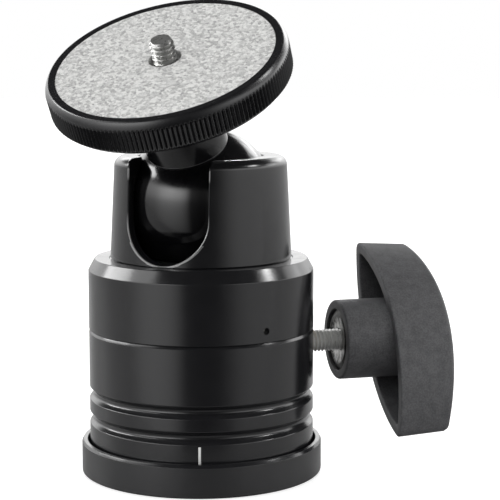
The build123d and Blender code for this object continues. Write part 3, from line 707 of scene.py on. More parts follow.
class BALLHEAD_OT_upper_housing(bpy.types.Operator):
    """Builds the housing's upper half: the shoulder and the neck with its drop slot"""
    bl_idname = "ball_head.upper_housing"
    bl_label = "Upper housing"

    spigot_bore, neck_bore, neck_mouth = 26.03 * MM, 20.6 * MM, 16.16 * MM
    spigot_top, bore_foot, bore_top = 42.73 * MM, 50 * MM, 79.4 * MM
    socket_radius, socket_top, mouth_radius, mouth_foot = 20.25 * MM, 83.2 * MM, 17.6 * MM, 82.4 * MM
    relief_inside, relief_outside, relief_depth = 0.25 * MM, 0.4 * MM, 0.3 * MM
    lock_radius, lock_ends = 0.9 * MM, (24 * MM, 32 * MM)
    arc_steps = 18
    columns = 128
    # The rows that start on the slot's arc are level again 1 / 2.2 of the way round.
    levelling = 2.2
    # Rows over the slot's arc whose slot edge is rounded: the neck's side and top, and the
    # outer part of its mouth. The rows inside only have their sharpness taken off.
    rounded_rows = 34
    inner_edge, widest_edge, edge_steps = 0.05 * MM, 0.5 * MM, 5
    # The band of faces that gets the painted highlight lies between these distances from the slot's wall
    # and from the neck's side.
    rubbed_skin, rubbed_width = 0.003 * MM, 0.6 * MM

    def cone(self, z):
        """The neck's outer radius at a height."""
        sizes = bpy.context.scene.ball_head_housing
        slope = (sizes.neck_top_radius - sizes.neck_foot_radius) / (sizes.neck_top - sizes.neck_foot)
        return sizes.neck_foot_radius + slope * (z - sizes.neck_foot)

    def outline(self, context):
        """The half section as rows of (radius, height, height far from the slot, whether the
        slot cuts it)."""
        sizes, ball = context.scene.ball_head_housing, context.scene.ball_head_ball
        width, arc = sizes.slot_half_width, sizes.slot_arc_height
        body, seam = sizes.body_radius, sizes.seam_height
        foot_radius, foot = sizes.neck_foot_radius, sizes.neck_foot
        relief_floor = foot - self.relief_depth
        low = rounded([
            (self.spigot_bore, seam, 0), (body - 0.25 * MM, seam, 0.08 * MM),
            (body, seam + 0.25 * MM, 0.1 * MM), (body, sizes.shoulder, 0.5 * MM),
            (body - sizes.shoulder_bevel, foot, 0.3 * MM),
            (foot_radius + self.relief_outside, foot, 0.06 * MM),
            (foot_radius + self.relief_inside, relief_floor, 0.06 * MM),
            (foot_radius - self.relief_inside, relief_floor, 0.06 * MM),
            (foot_radius - self.relief_inside, foot, 0.05 * MM),
            (self.cone(foot + 0.3 * MM), foot + 0.3 * MM, 0),
            (self.cone(arc - width), arc - width, 0)], 5)[:-1]
        # Two more rows, under and over the set screw's hole, keep the faces that it cuts short.
        at = next(i for i, (_, z) in enumerate(low) if z > seam + 6 * MM)
        low[at:at] = [(body, seam + 1.2 * MM), (body, seam + 5.2 * MM)]
        rows = [(r, z, z, False) for r, z in low]
        turns = [math.pi / 2 * (1 - i / self.arc_steps) for i in range(self.arc_steps + 1)]
        heights = [arc - width * math.sin(turn) for turn in turns]
        even = [arc - width + width * i / self.arc_steps for i in range(self.arc_steps + 1)]
        rows += [(self.cone(z), z, far, True) for z, far in zip(heights, even)]
        top = rounded([(self.cone(arc), arc, 0),
                       (sizes.neck_top_radius, sizes.neck_top, sizes.neck_round),
                       (self.neck_mouth, sizes.neck_top, 0.5 * MM),
                       (self.mouth_radius, self.mouth_foot, 0)], 12)
        # Over the arc: rows 1 mm apart up the side, the neck's top, its socket and its bore.
        above = [(self.cone(arc + i * MM), arc + i * MM) for i in range(1, 12)] + top[1:-1]
        socket = [self.socket_top, *(self.mouth_foot - i * MM for i in range(4))]
        above += [(math.sqrt(self.socket_radius ** 2 - (z - ball.ball_height) ** 2), z) for z in socket]
        above += [(self.neck_bore, z) for z in (self.bore_top, 77 * MM, 74 * MM, 71 * MM)]
        rows += [(r, z, z, True) for r, z in above]
        rows += [(self.neck_bore, z, far, True) for z, far in zip(reversed(heights), reversed(even))]
        rows += [(r, z, z, False) for r, z in (
            (self.neck_bore, self.bore_foot), (self.neck_bore, self.spigot_top),
            (self.spigot_bore, self.spigot_top))]
        return rows

    def edge_round(self, rows, edge, i, first, last, sizes):
        """Points of the slot edge's round at one row, from the turned surface to the slot's wall."""
        def unit(vector):
            return vector / np.linalg.norm(vector)

        point, arc = edge[i], sizes.slot_arc_height
        along = unit(edge[min(i + 1, last)] - edge[max(i - 1, first)])
        if i in (first, last):
            along = np.array([0.0, 1.0, 0.0])
        before, after = rows[max(i - 1, 0)], rows[min(i + 1, len(rows) - 1)]
        line = unit(np.array([after[0] - before[0], after[1] - before[1]]))
        surface = unit(np.array([point[0], point[1], 0])) * line[1] + np.array([0, 0, -line[0]])
        wall = np.array([0.0, -1.0, 0.0])
        if point[2] < arc:
            wall = unit(np.array([0.0, -point[1], arc - point[2]]))
        across, inward = unit(np.cross(along, surface)), unit(np.cross(along, wall))
        across *= -1 if across @ wall > 0 else 1
        inward *= -1 if inward @ surface > 0 else 1
        rounded_edge = i <= first + self.arc_steps + self.rounded_rows
        half = math.acos(max(min(across @ inward, 1), -1)) / 2
        reach = (sizes.slot_edge if rounded_edge else self.inner_edge) / math.tan(half)
        reach = min(reach, self.widest_edge)
        radius = reach * math.tan(half)
        centre = point + unit(across + inward) * radius / math.sin(half)
        start, end = (Vector(unit(point + way * reach - centre)) for way in (across, inward))
        return [centre + np.array(start.slerp(end, step / self.edge_steps)) * radius
                for step in range(self.edge_steps + 1)]

    def slotted_mesh(self, context):
        """The outline turned from one side of the slot to halfway round, the slot's edge and
        wall, and the mirror image of all that. The slot faces along local X."""
        sizes = context.scene.ball_head_housing
        width, arc = sizes.slot_half_width, sizes.slot_arc_height
        rows = self.outline(context)
        cut = [i for i, row in enumerate(rows) if row[3]]
        first, last = cut[0], cut[-1]
        across = self.columns + 1

        def opening(z):
            """Half the slot's width at a height."""
            return width if z >= arc else math.sqrt(max(width ** 2 - (arc - z) ** 2, 0))

        edge = {i: np.array([math.sqrt(rows[i][0] ** 2 - opening(rows[i][1]) ** 2),
                             opening(rows[i][1]), rows[i][1]]) for i in cut}
        fillets = {i: self.edge_round(rows, edge, i, first, last, sizes) for i in cut}
        points = []
        for i, (radius, z, far, slotted) in enumerate(rows):
            start, start_z, start_radius = 0.0, z, radius
            if slotted:
                foot = fillets[i][0]
                start, start_z = math.atan2(foot[1], foot[0]), foot[2]
                start_radius = math.hypot(foot[0], foot[1])
            on_cone = slotted and i <= first + self.arc_steps and z <= arc
            for share in np.linspace(0, 1, across):
                ease = min(share * self.levelling, 1.0)
                height = start_z + (far - start_z) * ease * ease * (3 - 2 * ease)
                reach = self.cone(height) if on_cone else radius if share else start_radius
                spin = start + (math.pi - start) * share
                points.append((reach * math.cos(spin), reach * math.sin(spin), height))
        faces = grid_faces(len(rows), across, True, False)
        # The slot edge's round, then the slot's wall: an arc at its foot and one flat face over it.
        strip = {}
        for i in cut:
            strip[i] = [i * across, *range(len(points), len(points) + self.edge_steps)]
            points += [tuple(point) for point in fillets[i][1:]]
        for i in cut[:-1]:
            here, above = strip[i], strip[i + 1]
            faces += [(here[a], here[a + 1], above[a + 1], above[a]) for a in range(self.edge_steps)]
        for step in range(self.arc_steps):
            faces.append((strip[first + step][-1], strip[last - step][-1],
                          strip[last - step - 1][-1], strip[first + step + 1][-1]))
        faces.append(tuple(strip[i][-1]
                           for i in range(first + self.arc_steps, last - self.arc_steps + 1)))
        count = len(points)
        points += [(x, -y, z) for x, y, z in points]
        faces += [tuple(count + v for v in reversed(face)) for face in faces]
        return mesh_from(points, faces)

    def execute(self, context):
        sizes = context.scene.ball_head_housing
        width, arc = sizes.slot_half_width, sizes.slot_arc_height
        mesh = self.slotted_mesh(context)
        mesh.transform(Matrix.Rotation(sizes.slot_turn, 4, "Z"))
        mesh = drilled(mesh, self.lock_radius, *self.lock_ends, self.lock_place(sizes), 48)
        piece = add_piece("upper_housing_neck", mesh, "housing", "upper_housing", "anodised")
        turn = Matrix.Rotation(-sizes.slot_turn, 4, "Z")
        least, most = self.rubbed_skin, self.rubbed_width

        def on_edge(at):
            at = turn @ at
            side = math.hypot(at.y, min(at.z - arc, 0)) - width
            skin = self.cone(at.z) - math.hypot(at.x, at.y)
            return (at.x > 0 and least < side < most and least < skin < most
                    and sizes.neck_foot < at.z < sizes.neck_top - sizes.neck_round)

        # The faces round the slot's edge get a light grey painted highlight.
        rub(piece, on_edge)
        return {"FINISHED"}

    @staticmethod
    def lock_place(sizes):
        """On the upright axis at the set screw's height, with local Z along the screw."""
        return (Matrix.Translation((0, 0, sizes.lock_height)) @ Matrix.Rotation(sizes.lock_turn, 4, "Z")
                @ Matrix.Rotation(math.pi / 2, 4, "Y"))


class BALLHEAD_OT_set_screw(bpy.types.Operator):
    """Builds the small socket set screw that locks the two halves"""
    bl_idname = "ball_head.set_screw"
    bl_label = "Housing set screw"

    radius, nose, top = 0.87 * MM, 26.03 * MM, 28.63 * MM
    socket_radius, socket_depth = 0.52 * MM, 1.3 * MM

    def execute(self, context):
        body = rod(self.radius, self.nose, self.top, (0.05 * MM, 0.1 * MM), 3, 48)
        socket = rod(self.socket_radius, self.top - self.socket_depth, self.top + 1 * MM, turns=6)
        place = BALLHEAD_OT_upper_housing.lock_place(context.scene.ball_head_housing)
        add_piece("set_screw_socket", combined(body, socket, "DIFFERENCE"), "housing",
                  "housing_set_screw", "steel", place)
        return {"FINISHED"}


class BALLHEAD_OT_ball(bpy.types.Operator):
    """Builds the ball and the collar on its stem"""
    bl_idname = "ball_head.ball"
    bl_label = "Ball and collar"

    clearance, bore_foot = 0.03 * MM, 6 * MM
    arc_steps, cup_steps = 120, 10
    bevel_width, bevel_foot, bevel_top = 0.14 * MM, 0.42 * MM, 0.78 * MM
    # The band of faces on the collar's lower edge that gets the painted highlight.
    rubbed_width, rubbed_skin, rubbed_top = 0.3 * MM, 0.002 * MM, 0.82 * MM

    def execute(self, context):
        sizes, place = context.scene.ball_head_ball, stem_place(context)
        radius, bore = sizes.ball_radius, sizes.stem_radius + self.clearance
        arc = [(radius * math.cos(turn), radius * math.sin(turn)) for turn in np.linspace(
            -math.pi / 2, math.acos(bore / radius), self.arc_steps + 1)[1:]]
        section = [(0, -radius), *arc, (bore, self.bore_foot), (0, self.bore_foot)]
        add_piece("ball_sphere", turned(section, 256, False), "ball", "ball", "ball_finish", place)
        collar, cup = sizes.collar_radius, radius + self.clearance
        top = sizes.plate_back - 0.05 * MM
        under = [(math.sqrt(cup ** 2 - z ** 2), z) for z in np.linspace(
            math.sqrt(cup ** 2 - bore ** 2),
            math.sqrt(cup ** 2 - (collar - 0.4 * MM) ** 2), self.cup_steps)]
        skirt = math.sqrt(radius ** 2 - collar ** 2)
        section = rounded([(collar - self.bevel_width, skirt + self.bevel_foot, 0.05 * MM),
                           (collar, skirt + self.bevel_top, 0.08 * MM), (collar, top, 0.25 * MM),
                           (bore, top, 0)] + [(r, z, 0) for r, z in under], 4)
        piece = add_piece("stem_collar_turned", turned(section), "ball", "stem_collar", "anodised",
                          place)
        back = place.inverted()

        def on_edge(at):
            at = back @ at
            inside = collar - math.hypot(at.x, at.y)
            return self.rubbed_skin < inside < self.rubbed_width and at.z < skirt + self.rubbed_top

        # The collar's lower edge gets a light grey painted highlight.
        rub(piece, on_edge)
        return {"FINISHED"}


class BALLHEAD_OT_camera_plate(bpy.types.Operator):
    """Builds the camera plate with its ribbed edge, bevel and lip"""
    bl_idname = "ball_head.camera_plate"
    bl_label = "Camera plate"

    columns_a_rib = 6
    lip_radius, bevel_height, back_bevel = 30.15 * MM, 2.8 * MM, 0.8 * MM
    # The ribs start to run out this far over the bevel's foot, and take this much height to.
    run_out_foot, run_out_height = 0.3 * MM, 1.1 * MM
    lip_round, lip_round_height = 0.10 * MM, 0.22 * MM
    seat_radius, screw_recess, recess_floor = 28.5 * MM, 9.03 * MM, 39.8 * MM
    clip_recess, clip_floor, stem_bore = 8.0 * MM, 37.3 * MM, 5.05 * MM

    def execute(self, context):
        sizes = context.scene.ball_head_ball
        back, face, tops = sizes.plate_back, sizes.plate_face, sizes.rib_radius
        lip, bevel_foot = self.lip_radius, face - self.bevel_height
        columns = sizes.ribs * self.columns_a_rib
        turn = np.arange(columns) / self.columns_a_rib
        # Each rib is a wave a little wider at its crest than at its root.
        rib = tops - sizes.rib_depth + sizes.rib_depth * (0.5 + 0.5 * np.cos(2 * math.pi * turn)) ** 0.75
        # Rows lie close together at the back's edge, over the bevel and at the lip's round.
        heights = [back + h * MM for h in (0.0, 0.06, 0.2)]
        for start, end, count in ((back + 0.5 * MM, back + 1.3 * MM, 7),
                                  (back + 2.2 * MM, bevel_foot - 0.9 * MM, 4),
                                  (bevel_foot - 0.1 * MM, bevel_foot + 2.4 * MM, 20)):
            heights += list(np.linspace(start, end, count))
        heights += [face - h * MM for h in (0.22, 0.12, 0.05, 0.01)]
        rows = []
        for z in heights:
            back_edge = tops - sizes.rib_depth - self.back_bevel + z - back
            bevel = tops - (tops - lip) * (max(z - bevel_foot, 0) / self.bevel_height) ** 2
            rounding = self.lip_round * max(0.0, 1 - (face - z) / self.lip_round_height) ** 2
            run_out = min(max((z - bevel_foot - self.run_out_foot) / self.run_out_height, 0), 1)
            edge = min(back_edge, bevel, tops) - rounding
            rows.append((np.minimum(rib + (tops - rib) * run_out, edge), z))
        rows.append((lip - 0.3 * MM, face))
        rows += rounded([
            (self.seat_radius, face, 0.12 * MM), (self.seat_radius, sizes.pad_foot, 0),
            (self.screw_recess, sizes.pad_foot, 0), (self.screw_recess, self.recess_floor, 0),
            (self.clip_recess, self.recess_floor, 0), (self.clip_recess, self.clip_floor, 0),
            (self.stem_bore, self.clip_floor, 0), (self.stem_bore, back, 0.1 * MM)], 4)
        points = [around(radius, z, turn * 2 * math.pi / sizes.ribs) for radius, z in rows]
        mesh = mesh_from(np.concatenate(points), grid_faces(len(rows), columns, True, True))
        add_piece("camera_plate_ribbed", mesh, "plate", "camera_plate", "plate_finish",
                  stem_place(context))
        return {"FINISHED"}


class BALLHEAD_OT_grip_pad(bpy.types.Operator):
    """Builds the cork rubber pad in the plate's seat"""
    bl_idname = "ball_head.grip_pad"
    bl_label = "Grip pad"

    rings = 56
    edge_round, hole_round = 0.35 * MM, 0.3 * MM
    # Granules stand in relief, and all of the noise that raises them stays under the pad's top.
    granule, relief, sinking = 0.9 * MM, 0.035 * MM, 0.6

    def execute(self, context):
        sizes = context.scene.ball_head_ball
        edge, hole = sizes.pad_radius, sizes.pad_hole
        foot, top = sizes.pad_foot + 0.01 * MM, sizes.pad_top
        section = rounded([(hole, foot, 0), (edge, foot, 0), (edge, top, self.edge_round)], 5)[:-1]
        section += [(r, top) for r in np.linspace(edge - 0.5 * MM, hole + 0.5 * MM, self.rings)]
        section += rounded([(edge, top, 0), (hole, top, self.hole_round), (hole, foot, 0)], 5)[1:-1]
        mesh = turned(section)
        for vertex in mesh.vertices:
            if vertex.co.z > top - 0.4 * MM:
                lift = noise.noise(vertex.co / self.granule) - self.sinking
                vertex.co.z += self.relief * lift
        mesh.update()
        add_piece("grip_pad_sheet", mesh, "plate", "grip_pad", "pad_cork", stem_place(context))
        return {"FINISHED"}


class BALLHEAD_OT_camera_screw(bpy.types.Operator):
    """Builds the 1/4 inch camera screw with its disc head"""
    bl_idname = "ball_head.camera_screw"
    bl_label = "Camera screw"

    head_radius, head_foot, head_top = 9 * MM, 39.8 * MM, 42.2 * MM
    thread_foot, cone = 41.5 * MM, 0.7 * MM

    def execute(self, context):
        sizes = context.scene.ball_head_ball
        thread = threaded(sizes.screw_radius, sizes.screw_pitch, self.thread_foot, sizes.screw_tip,
                          self.cone, 96, 14)
        head = rod(self.head_radius, self.head_foot, self.head_top, (0.2 * MM, 0.3 * MM), turns=128)
        add_piece("camera_screw_thread", combined(thread, head, "UNION"), "plate", "camera_screw",
                  "steel", stem_place(context), "camera_screw_finish")
        return {"FINISHED"}


class BALLHEAD_OT_clamp_screw(bpy.types.Operator):
    """Builds the M6 clamp screw and the metal insert in the knob's hub"""
    bl_idname = "ball_head.clamp_screw"
    bl_label = "Clamp screw and insert"

    thread_start, thread_end = 16.9 * MM, 46.0 * MM
    nose_radius, nose_tip, nose_end = 2.2 * MM, 15.45 * MM, 17.4 * MM
    insert_recess, insert_length, clearance = 0.3 * MM, 9 * MM, 0.03 * MM
    dish_radius, ridge_radius = 5.2 * MM, 6.6 * MM

    def execute(self, context):
        sizes, place = context.scene.ball_head_knob, knob_place(context)
        thread = threaded(sizes.screw_radius, sizes.screw_pitch, self.thread_start, self.thread_end)
        nose = rod(self.nose_radius, self.nose_tip, self.nose_end, (0.3 * MM, 0), turns=64)
        add_piece("clamp_screw_thread", combined(thread, nose, "UNION"), "knob", "clamp_screw",
                  "steel", place, "screw_finish")
        radius, bore = sizes.insert_radius, sizes.screw_radius + self.clearance
        face = sizes.hub_face + self.insert_recess
        end = face + self.insert_length
        section = rounded([
            (bore, end, 0), (bore, face + 0.55 * MM, 0.3 * MM),
            (self.dish_radius, face + 0.35 * MM, 0.3 * MM),
            (self.ridge_radius, face + 0.02 * MM, 0.25 * MM),
            (radius, face + 0.6 * MM, 0.2 * MM), (radius, end, 0)], 5)
        # The insert's finish has oil blotches and painted shade towards its rim.
        add_piece("knob_insert_turned", turned(section, 192), "knob", "knob_insert", "steel", place,
                  "insert_finish")
        return {"FINISHED"}


class BALLHEAD_OT_knob(bpy.types.Operator):
    """Builds the moulded wing knob, hollow at the back round its hub"""
    bl_idname = "ball_head.knob"
    bl_label = "Wing knob"

    tip_steps = 14
    side_steps = 44
    crown_wall, crown_edge, rim_round, inner_corner = 2.6 * MM, 1.2 * MM, 0.5 * MM, 0.6 * MM
    crown_foot_tip, crown_tip, inner_tip, least_tip = 2.0 * MM, 0.8 * MM, 1.2 * MM, 0.5 * MM
    inner_wall_end, hub_sink = 0.7 * MM, 1.3 * MM
    insert_clearance, insert_depth = 0.03 * MM, 9.3 * MM

    def normals(self, sizes):
        """Directions of the outline's normals all round, close together at the tips."""
        arc = (sizes.half_length ** 2 + sizes.half_width ** 2) / (2 * sizes.half_width)
        turn = math.atan2(arc - sizes.half_width,
                          math.sqrt((arc - sizes.tip_round) ** 2 - (arc - sizes.half_width) ** 2))
        tip = [-turn + 2 * turn * i / self.tip_steps for i in range(self.tip_steps)]
        side = [turn + (math.pi - 2 * turn) * i / self.side_steps for i in range(self.side_steps)]
        return [*tip, *side, *[t + math.pi for t in tip], *[s + math.pi for s in side]]

    def outline(self, sizes, inset, tip_round):
        """Points of the lens outline, inset by a wall, one for each normal."""
        arc = (sizes.half_length ** 2 + sizes.half_width ** 2) / (2 * sizes.half_width)
        set_back = arc - sizes.half_width
        centre = math.sqrt((arc - inset - tip_round) ** 2 - set_back ** 2)
        limit = math.atan2(set_back, centre)
        points = []
        for turn in self.normals(sizes):
            fold = (turn + math.pi / 2) % math.pi - math.pi / 2
            if abs(fold) <= limit + 1e-6:
                side = 1 if math.cos(turn) > 0 else -1
                points.append((side * centre + tip_round * math.cos(turn), tip_round * math.sin(turn)))
            else:
                side = -1 if math.sin(turn) > 0 else 1
                points.append(((arc - inset) * math.cos(turn),
                               side * set_back + (arc - inset) * math.sin(turn)))
        return points

    def shell(self, sizes):
        """The hollow wing, as rings from its rim up the outside, over the crown and down the
        inside, with heights along the knob's axis from the middle of its rim."""
        slope, wall, top_wall = math.tan(sizes.draft), sizes.wall, self.crown_wall
        edge, rim_round, corner = self.crown_edge, self.rim_round, self.inner_corner
        foot = (sizes.depth - edge) * slope
        rings = []

        def rim(x):
            return -(sizes.rim_radius - math.sqrt(sizes.rim_radius ** 2 - x ** 2))

        def crown(x, less=0.0):
            big = sizes.crown_radius - less
            return sizes.depth - less - (big - math.sqrt(big ** 2 - x ** 2))

        def ring(inset, tip, height):
            rings.append([(x, y, height(x)) for x, y in self.outline(sizes, inset, tip)])

        def drawn_in(share, inset, tip, less=0.0):
            pull = 0.96 + 0.04 * share
            rings.append([(x * pull, y * share, crown(x * pull, less))
                          for x, y in self.outline(sizes, inset, tip)])

        def up_wall(inset, tip, top, shares):
            for share in shares:
                rise = rim_round + share * (sizes.depth - 3 * rim_round - edge)
                ring(inset + rise * slope, max(tip - rise * slope, self.least_tip),
                     lambda x: rim(x) + rim_round + share * (top(x) - rim(x) - rim_round))

        def bend(steps, whole):
            turns = [math.pi / 2 * step / whole for step in steps]
            return [(1 - math.sin(turn), 1 - math.cos(turn)) for turn in turns]

        for inwards, over in bend(range(5), 5):
            ring(rim_round * inwards, sizes.tip_round - rim_round * inwards,
                 lambda x: rim(x) + rim_round * over)
        up_wall(0, sizes.tip_round, lambda x: crown(x) - edge, np.linspace(0, 1, 9))
        for down, inwards in bend(range(1, 7), 6):
            ring(foot + edge * inwards, self.crown_foot_tip - edge * inwards,
                 lambda x: crown(x) - edge * down)
        for share in (0.85, 0.6, 0.35, 0.15, 0.0):
            drawn_in(share, foot + edge, self.crown_tip)
        outside = len(rings)
        for share in (0.0, 0.3, 0.65, 0.9):
            drawn_in(share, wall + foot + corner, self.least_tip, top_wall)
        for inwards, down in bend(range(5), 4):
            ring(wall + foot + corner * inwards, self.least_tip,
                 lambda x: crown(x, top_wall) - corner * down)
        up_wall(wall, self.inner_tip, lambda x: crown(x, top_wall) - self.inner_wall_end,
                np.linspace(1, 0, 7))
        for over, outwards in bend(range(1, 6), 5):
            ring(wall - rim_round * outwards, self.inner_tip, lambda x: rim(x) + rim_round * over)
        columns = len(rings[0])
        faces = grid_faces(outside, columns, False, True)
        inner = grid_faces(len(rings) - outside, columns, False, True)
        faces += [tuple(outside * columns + v for v in face) for face in inner]
        last = (len(rings) - 1) * columns
        faces += [(last + c, last + (c + 1) % columns, (c + 1) % columns, c) for c in range(columns)]
        return mesh_from([point for points in rings for point in points], faces)

    def execute(self, context):
        sizes = context.scene.ball_head_knob
        shell = self.shell(sizes)
        shell.transform(Matrix.Translation((0, 0, sizes.rim)) @ Matrix.Rotation(-sizes.lean, 4, "Z"))
        face, end = sizes.hub_face, sizes.rim + sizes.depth - self.hub_sink
        bore, floor = sizes.insert_radius + self.insert_clearance, face + self.insert_depth
        hub = turned(rounded([(0, floor, 0), (bore, floor, 0), (bore, face, 0.15 * MM),
                              (sizes.hub_radius, face, 0.6 * MM), (sizes.hub_radius, end, 0),
                              (0, end, 0)], 6), 160, False)
        add_piece("knob_wing", combined(shell, hub, "UNION"), "knob", "knob_body", "knob_plastic",
                  knob_place(context))
        return {"FINISHED"}


class BALLHEAD_OT_inner_parts(bpy.types.Operator):
    """Gives the washers, bearings, springs, wedge and stem their finishes"""
    bl_idname = "ball_head.inner_parts"
    bl_label = "Inner parts"

    places = {"ball": stem_place, "plate": stem_place, "knob": knob_place, "wedge": knob_place}

    def execute(self, context):
        slots = {part["node"]: part["material_slot"] for part in frame["record"]["subparts"]}
        for name, node in frame["nodes"].items():
            if node.hide_render:
                continue
            body = node["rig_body"]
            place = self.places[body](context) if body in self.places else UPRIGHT
            node.data.materials.clear()
            node.data.materials.append(finish_for(slots[name], place))
        return {"FINISHED"}


# Studio

# Brightness of the white screens round the table, as the object's surfaces mirror them, by
# degrees from the front, left to right. The front and the front right are left dark.
SCREENS = ((-180, 0.9), (-130, 0.85), (-112, 0.68), (-90, 0.74), (-74, 1.02), (-60, 1.68),
           (-46, 1.85), (-32, 1.55), (-24, 1.0), (-16, 0.13), (0, 0.05), (18, 0.08), (28, 0.35),
           (38, 0.75), (50, 1.0), (90, 1.1), (120, 1.0), (180, 0.95))

# What the screens' brightness is multiplied by, by degrees above the horizon.
HEIGHTS = ((-90, 0.05), (-50, 0.15), (-32, 0.45), (-14, 0.7), (-6, 0.85), (2, 1.2), (10, 2.3),
           (19, 2.9), (24, 0.4), (28, 0.06), (90, 0.03))

# A ramp's colours stay below 1, so both tables are divided by these and multiplied again after.
SCREENS_PEAK = 2
HEIGHTS_PEAK = 4

# The lamps, 1 m from the object: name, direction, roll in degrees, width, height, radiance, and
# whether it is only mirrored or only lights what is dull.
LAMPS = (
    ("top box", (-0.25, -0.45, 0.86), 0, 0.8, 0.8, 1.2, False),
    ("back left screen", (-0.236, 0.879, 0.415), 0, 0.42, 0.17, 3.2, True),
    ("left box", (-0.851, 0.228, 0.472), 21, 0.6, 0.2, 11.0, True),
    ("left panel", (-0.73, -0.25, 0.63), 30, 0.42, 0.22, 3.6, True),
    ("back right lamp", (0.09, 0.85, 0.51), 0, 0.05, 0.07, 30.0, True),
    ("back right screen", (0.449, 0.789, 0.417), 0, 0.4, 0.26, 2.4, True),
    ("back right box", (0.56, 0.67, 0.49), 0, 0.36, 0.2, 1.9, True),
    ("right screen", (0.82, 0.38, 0.41), 0, 0.35, 0.24, 2.4, True),
    ("right lamp", (0.79, -0.09, 0.6), 0, 0.15, 0.12, 32.0, True),
)


class BALLHEAD_OT_stage(bpy.types.Operator):
    """Adds the pale floor, the soft studio light and the camera"""
    bl_idname = "ball_head.stage"
    bl_label = "Studio"

    # The floor's grid in metres, which starts just in front of the base, and its gap under it.
    across = (-1.6, -0.8, -0.4, -0.2, -0.1, 0.0, 0.1, 0.2, 0.4, 0.8, 1.6)
    along = (-0.075, -0.05, 0.0, 0.05, 0.1, 0.2, 0.4, 0.8, 1.6, 2.4)
    gap = 0.0002
    aim = (0, 0, 0.06)

    def execute(self, context):
        self.add_floor()
        self.add_surroundings(context)
        self.add_lamps()
        self.add_camera(context)
        context.scene.view_settings.view_transform = "Standard"
        return {"FINISHED"}

    def add_floor(self):
        """A sheet of pale paper that starts just in front of the base and runs out of sight
        behind. The eye sees it as white, with the object's shadow on it."""
        points = [(x, y, 0) for y in self.along for x in self.across]
        mesh = mesh_from(points, grid_faces(len(self.along), len(self.across), False, False))
        floor = bpy.data.objects.new("floor", mesh)
        bpy.context.scene.collection.objects.link(floor)
        floor.location.z = -self.gap
        material, tree, sockets, place = start_material("Paper, pale", linear("#aeaeae"), 0.4, UPRIGHT)
        fibres = add(tree, "ShaderNodeTexNoise", {"Vector": place, "Scale": 1 / (2 * MM), "Detail": 5.0})
        add(tree, "ShaderNodeBump", {"Height": fibres, "Distance": 0.02 * MM, "Strength": 0.3},
            sockets["Normal"])
        seen = add(tree, "ShaderNodeLightPath").outputs["Is Camera Ray"]
        lift = add(tree, "ShaderNodeEmission", {"Strength": seen, "Color": (0.75, 0.75, 0.75, 1)})
        shader = tree.nodes["Principled BSDF"]
        add(tree, "ShaderNodeAddShader", {0: shader, 1: lift},
            tree.nodes["Material Output"].inputs["Surface"])
        mesh.materials.append(material)

    def add_surroundings(self, context):
        """White to the eye. Glossy surfaces mirror what stands round a small studio table: white
        screens up to about 24 degrees above it, brightest at the left, and a dark room in front
        and above. Dull surfaces get an even light that falls off towards the floor."""
        world = bpy.data.worlds.new("Studio")
        context.scene.world = world
        world.use_nodes = True
        tree = world.node_tree
        sockets = tree.nodes["Background"].inputs
        sockets["Color"].default_value = (1, 1, 1, 1)
        direction = add(tree, "ShaderNodeTexCoord").outputs["Generated"]
        x, y, z = add(tree, "ShaderNodeSeparateXYZ", {0: direction}).outputs
        front = add(tree, "ShaderNodeMath", {0: y, 1: -1.0}, operation="MULTIPLY")
        azimuth = add(tree, "ShaderNodeMath", {0: x, 1: front}, operation="ARCTAN2")
        share = add(tree, "ShaderNodeMapRange", {"Value": azimuth, "From Min": -math.pi,
                                                 "From Max": math.pi})
        screens = self.ramp(tree, share, [(degrees / 360 + 0.5, level / SCREENS_PEAK)
                                          for degrees, level in SCREENS])
        rise = add(tree, "ShaderNodeMapRange", {"Value": z, "From Min": -1.0})
        band = self.ramp(tree, rise, [(math.sin(math.radians(degrees)) / 2 + 0.5,
                                       level / HEIGHTS_PEAK) for degrees, level in HEIGHTS])
        mirrored = add(tree, "ShaderNodeMath", {0: screens, 1: band}, operation="MULTIPLY")
        mirrored = add(tree, "ShaderNodeMath", {0: mirrored, 1: SCREENS_PEAK * HEIGHTS_PEAK},
                       operation="MULTIPLY")
        even = add(tree, "ShaderNodeMapRange", {"Value": z, "From Min": -0.4, "From Max": 0.5,
                                                "To Min": 0.03, "To Max": 0.95})
        path = add(tree, "ShaderNodeLightPath").outputs
        unseen = add(tree, "ShaderNodeMix", {"Factor": path["Is Glossy Ray"], "A": even, "B": mirrored})
        add(tree, "ShaderNodeMix", {"Factor": path["Is Camera Ray"], "A": unseen, "B": 1.0},
            sockets["Strength"])

    @staticmethod
    def ramp(tree, factor, stops):
        """A ramp of brightness levels over a factor from 0 to 1."""
        node = add(tree, "ShaderNodeValToRGB", {0: factor})
        elements = node.color_ramp.elements
        while len(elements) < len(stops):
            elements.new(0.5)
        for element, (position, level) in zip(elements, stops):
            element.position = position
            element.color = (level, level, level, 1)
        return node

    def add_lamps(self):
        """One wide soft box above for the even light. The screens and small lamps round the
        object only show in its surfaces, as highlights on the bevels, the rims and the edges."""
        for name, direction, roll, width, height, radiance, mirrored in LAMPS:
            direction = Vector(direction).normalized()
            light = bpy.data.lights.new(name, "AREA")
            light.shape = "RECTANGLE"
            light.size, light.size_y = width, height
            light.energy = radiance * math.pi * width * height
            lamp = bpy.data.objects.new(name, light)
            lamp.location = Vector(self.aim) + direction
            turn = direction.to_track_quat("Z", "Y") @ Quaternion((0, 0, 1), math.radians(roll))
            lamp.rotation_euler = turn.to_euler()
            lamp.visible_glossy = mirrored
            lamp.visible_diffuse = not mirrored
            bpy.context.scene.collection.objects.link(lamp)

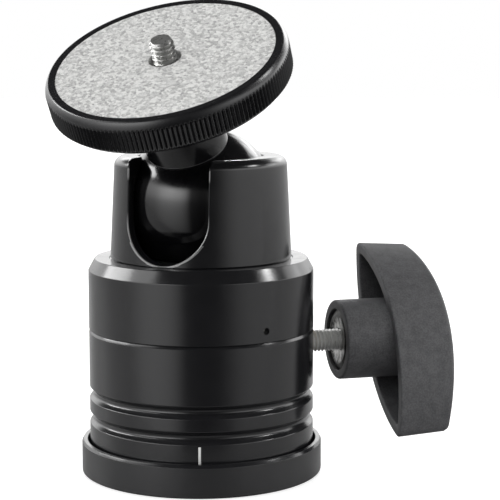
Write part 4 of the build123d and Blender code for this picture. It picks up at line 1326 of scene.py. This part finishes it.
    def add_camera(self, context):
        """A long lens a little above the object, looking slightly down and to the right."""
        data = bpy.data.cameras.new("camera")
        data.lens = 119.66
        data.sensor_width = 36
        data.clip_start = 0.01
        camera = bpy.data.objects.new("camera", data)
        camera.location = (0, -0.4394, 0.1176)
        camera.rotation_euler = (math.radians(90 - 7.58), 0, math.radians(-1.70))
        context.scene.collection.objects.link(camera)
        context.scene.camera = camera


PIECES = (
    BALLHEAD_OT_base, BALLHEAD_OT_tripod_insert, BALLHEAD_OT_lower_housing,
    BALLHEAD_OT_upper_housing, BALLHEAD_OT_set_screw, BALLHEAD_OT_ball, BALLHEAD_OT_camera_plate,
    BALLHEAD_OT_grip_pad, BALLHEAD_OT_camera_screw, BALLHEAD_OT_clamp_screw, BALLHEAD_OT_knob,
    BALLHEAD_OT_inner_parts, BALLHEAD_OT_stage,
)


class BALLHEAD_PT_panel(bpy.types.Panel):
    """Lists the pieces, sizes and colours of the ball head"""
    bl_idname = "BALLHEAD_PT_panel"
    bl_label = "Ball head"
    bl_space_type = "VIEW_3D"
    bl_region_type = "UI"
    bl_category = "Ball head"

    def draw(self, context):
        layout = self.layout
        for piece in PIECES:
            layout.operator(piece.bl_idname)
        for name in GROUPS:
            group = getattr(context.scene, name)
            box = layout.box()
            box.label(text=group.bl_rna.name)
            for key in group.bl_rna.properties.keys():
                if key not in ("name", "rna_type"):
                    box.prop(group, key)


GROUPS = {
    "ball_head_housing": BallHeadHousing,
    "ball_head_ball": BallHeadBall,
    "ball_head_knob": BallHeadKnob,
    "ball_head_finish": BallHeadFinish,
}


def register():
    for kind in (*GROUPS.values(), *PIECES, BALLHEAD_PT_panel):
        bpy.utils.register_class(kind)
    for name, kind in GROUPS.items():
        setattr(bpy.types.Scene, name, PointerProperty(type=kind))


def unregister():
    for name in GROUPS:
        delattr(bpy.types.Scene, name)
    for kind in reversed((*GROUPS.values(), *PIECES, BALLHEAD_PT_panel)):
        bpy.utils.unregister_class(kind)


def main():
    """Builds every piece and the studio."""
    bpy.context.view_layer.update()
    register()
    for piece in PIECES:
        group, name = piece.bl_idname.split(".")
        getattr(getattr(bpy.ops, group), name)()


if __name__ == "__main__":
    main()
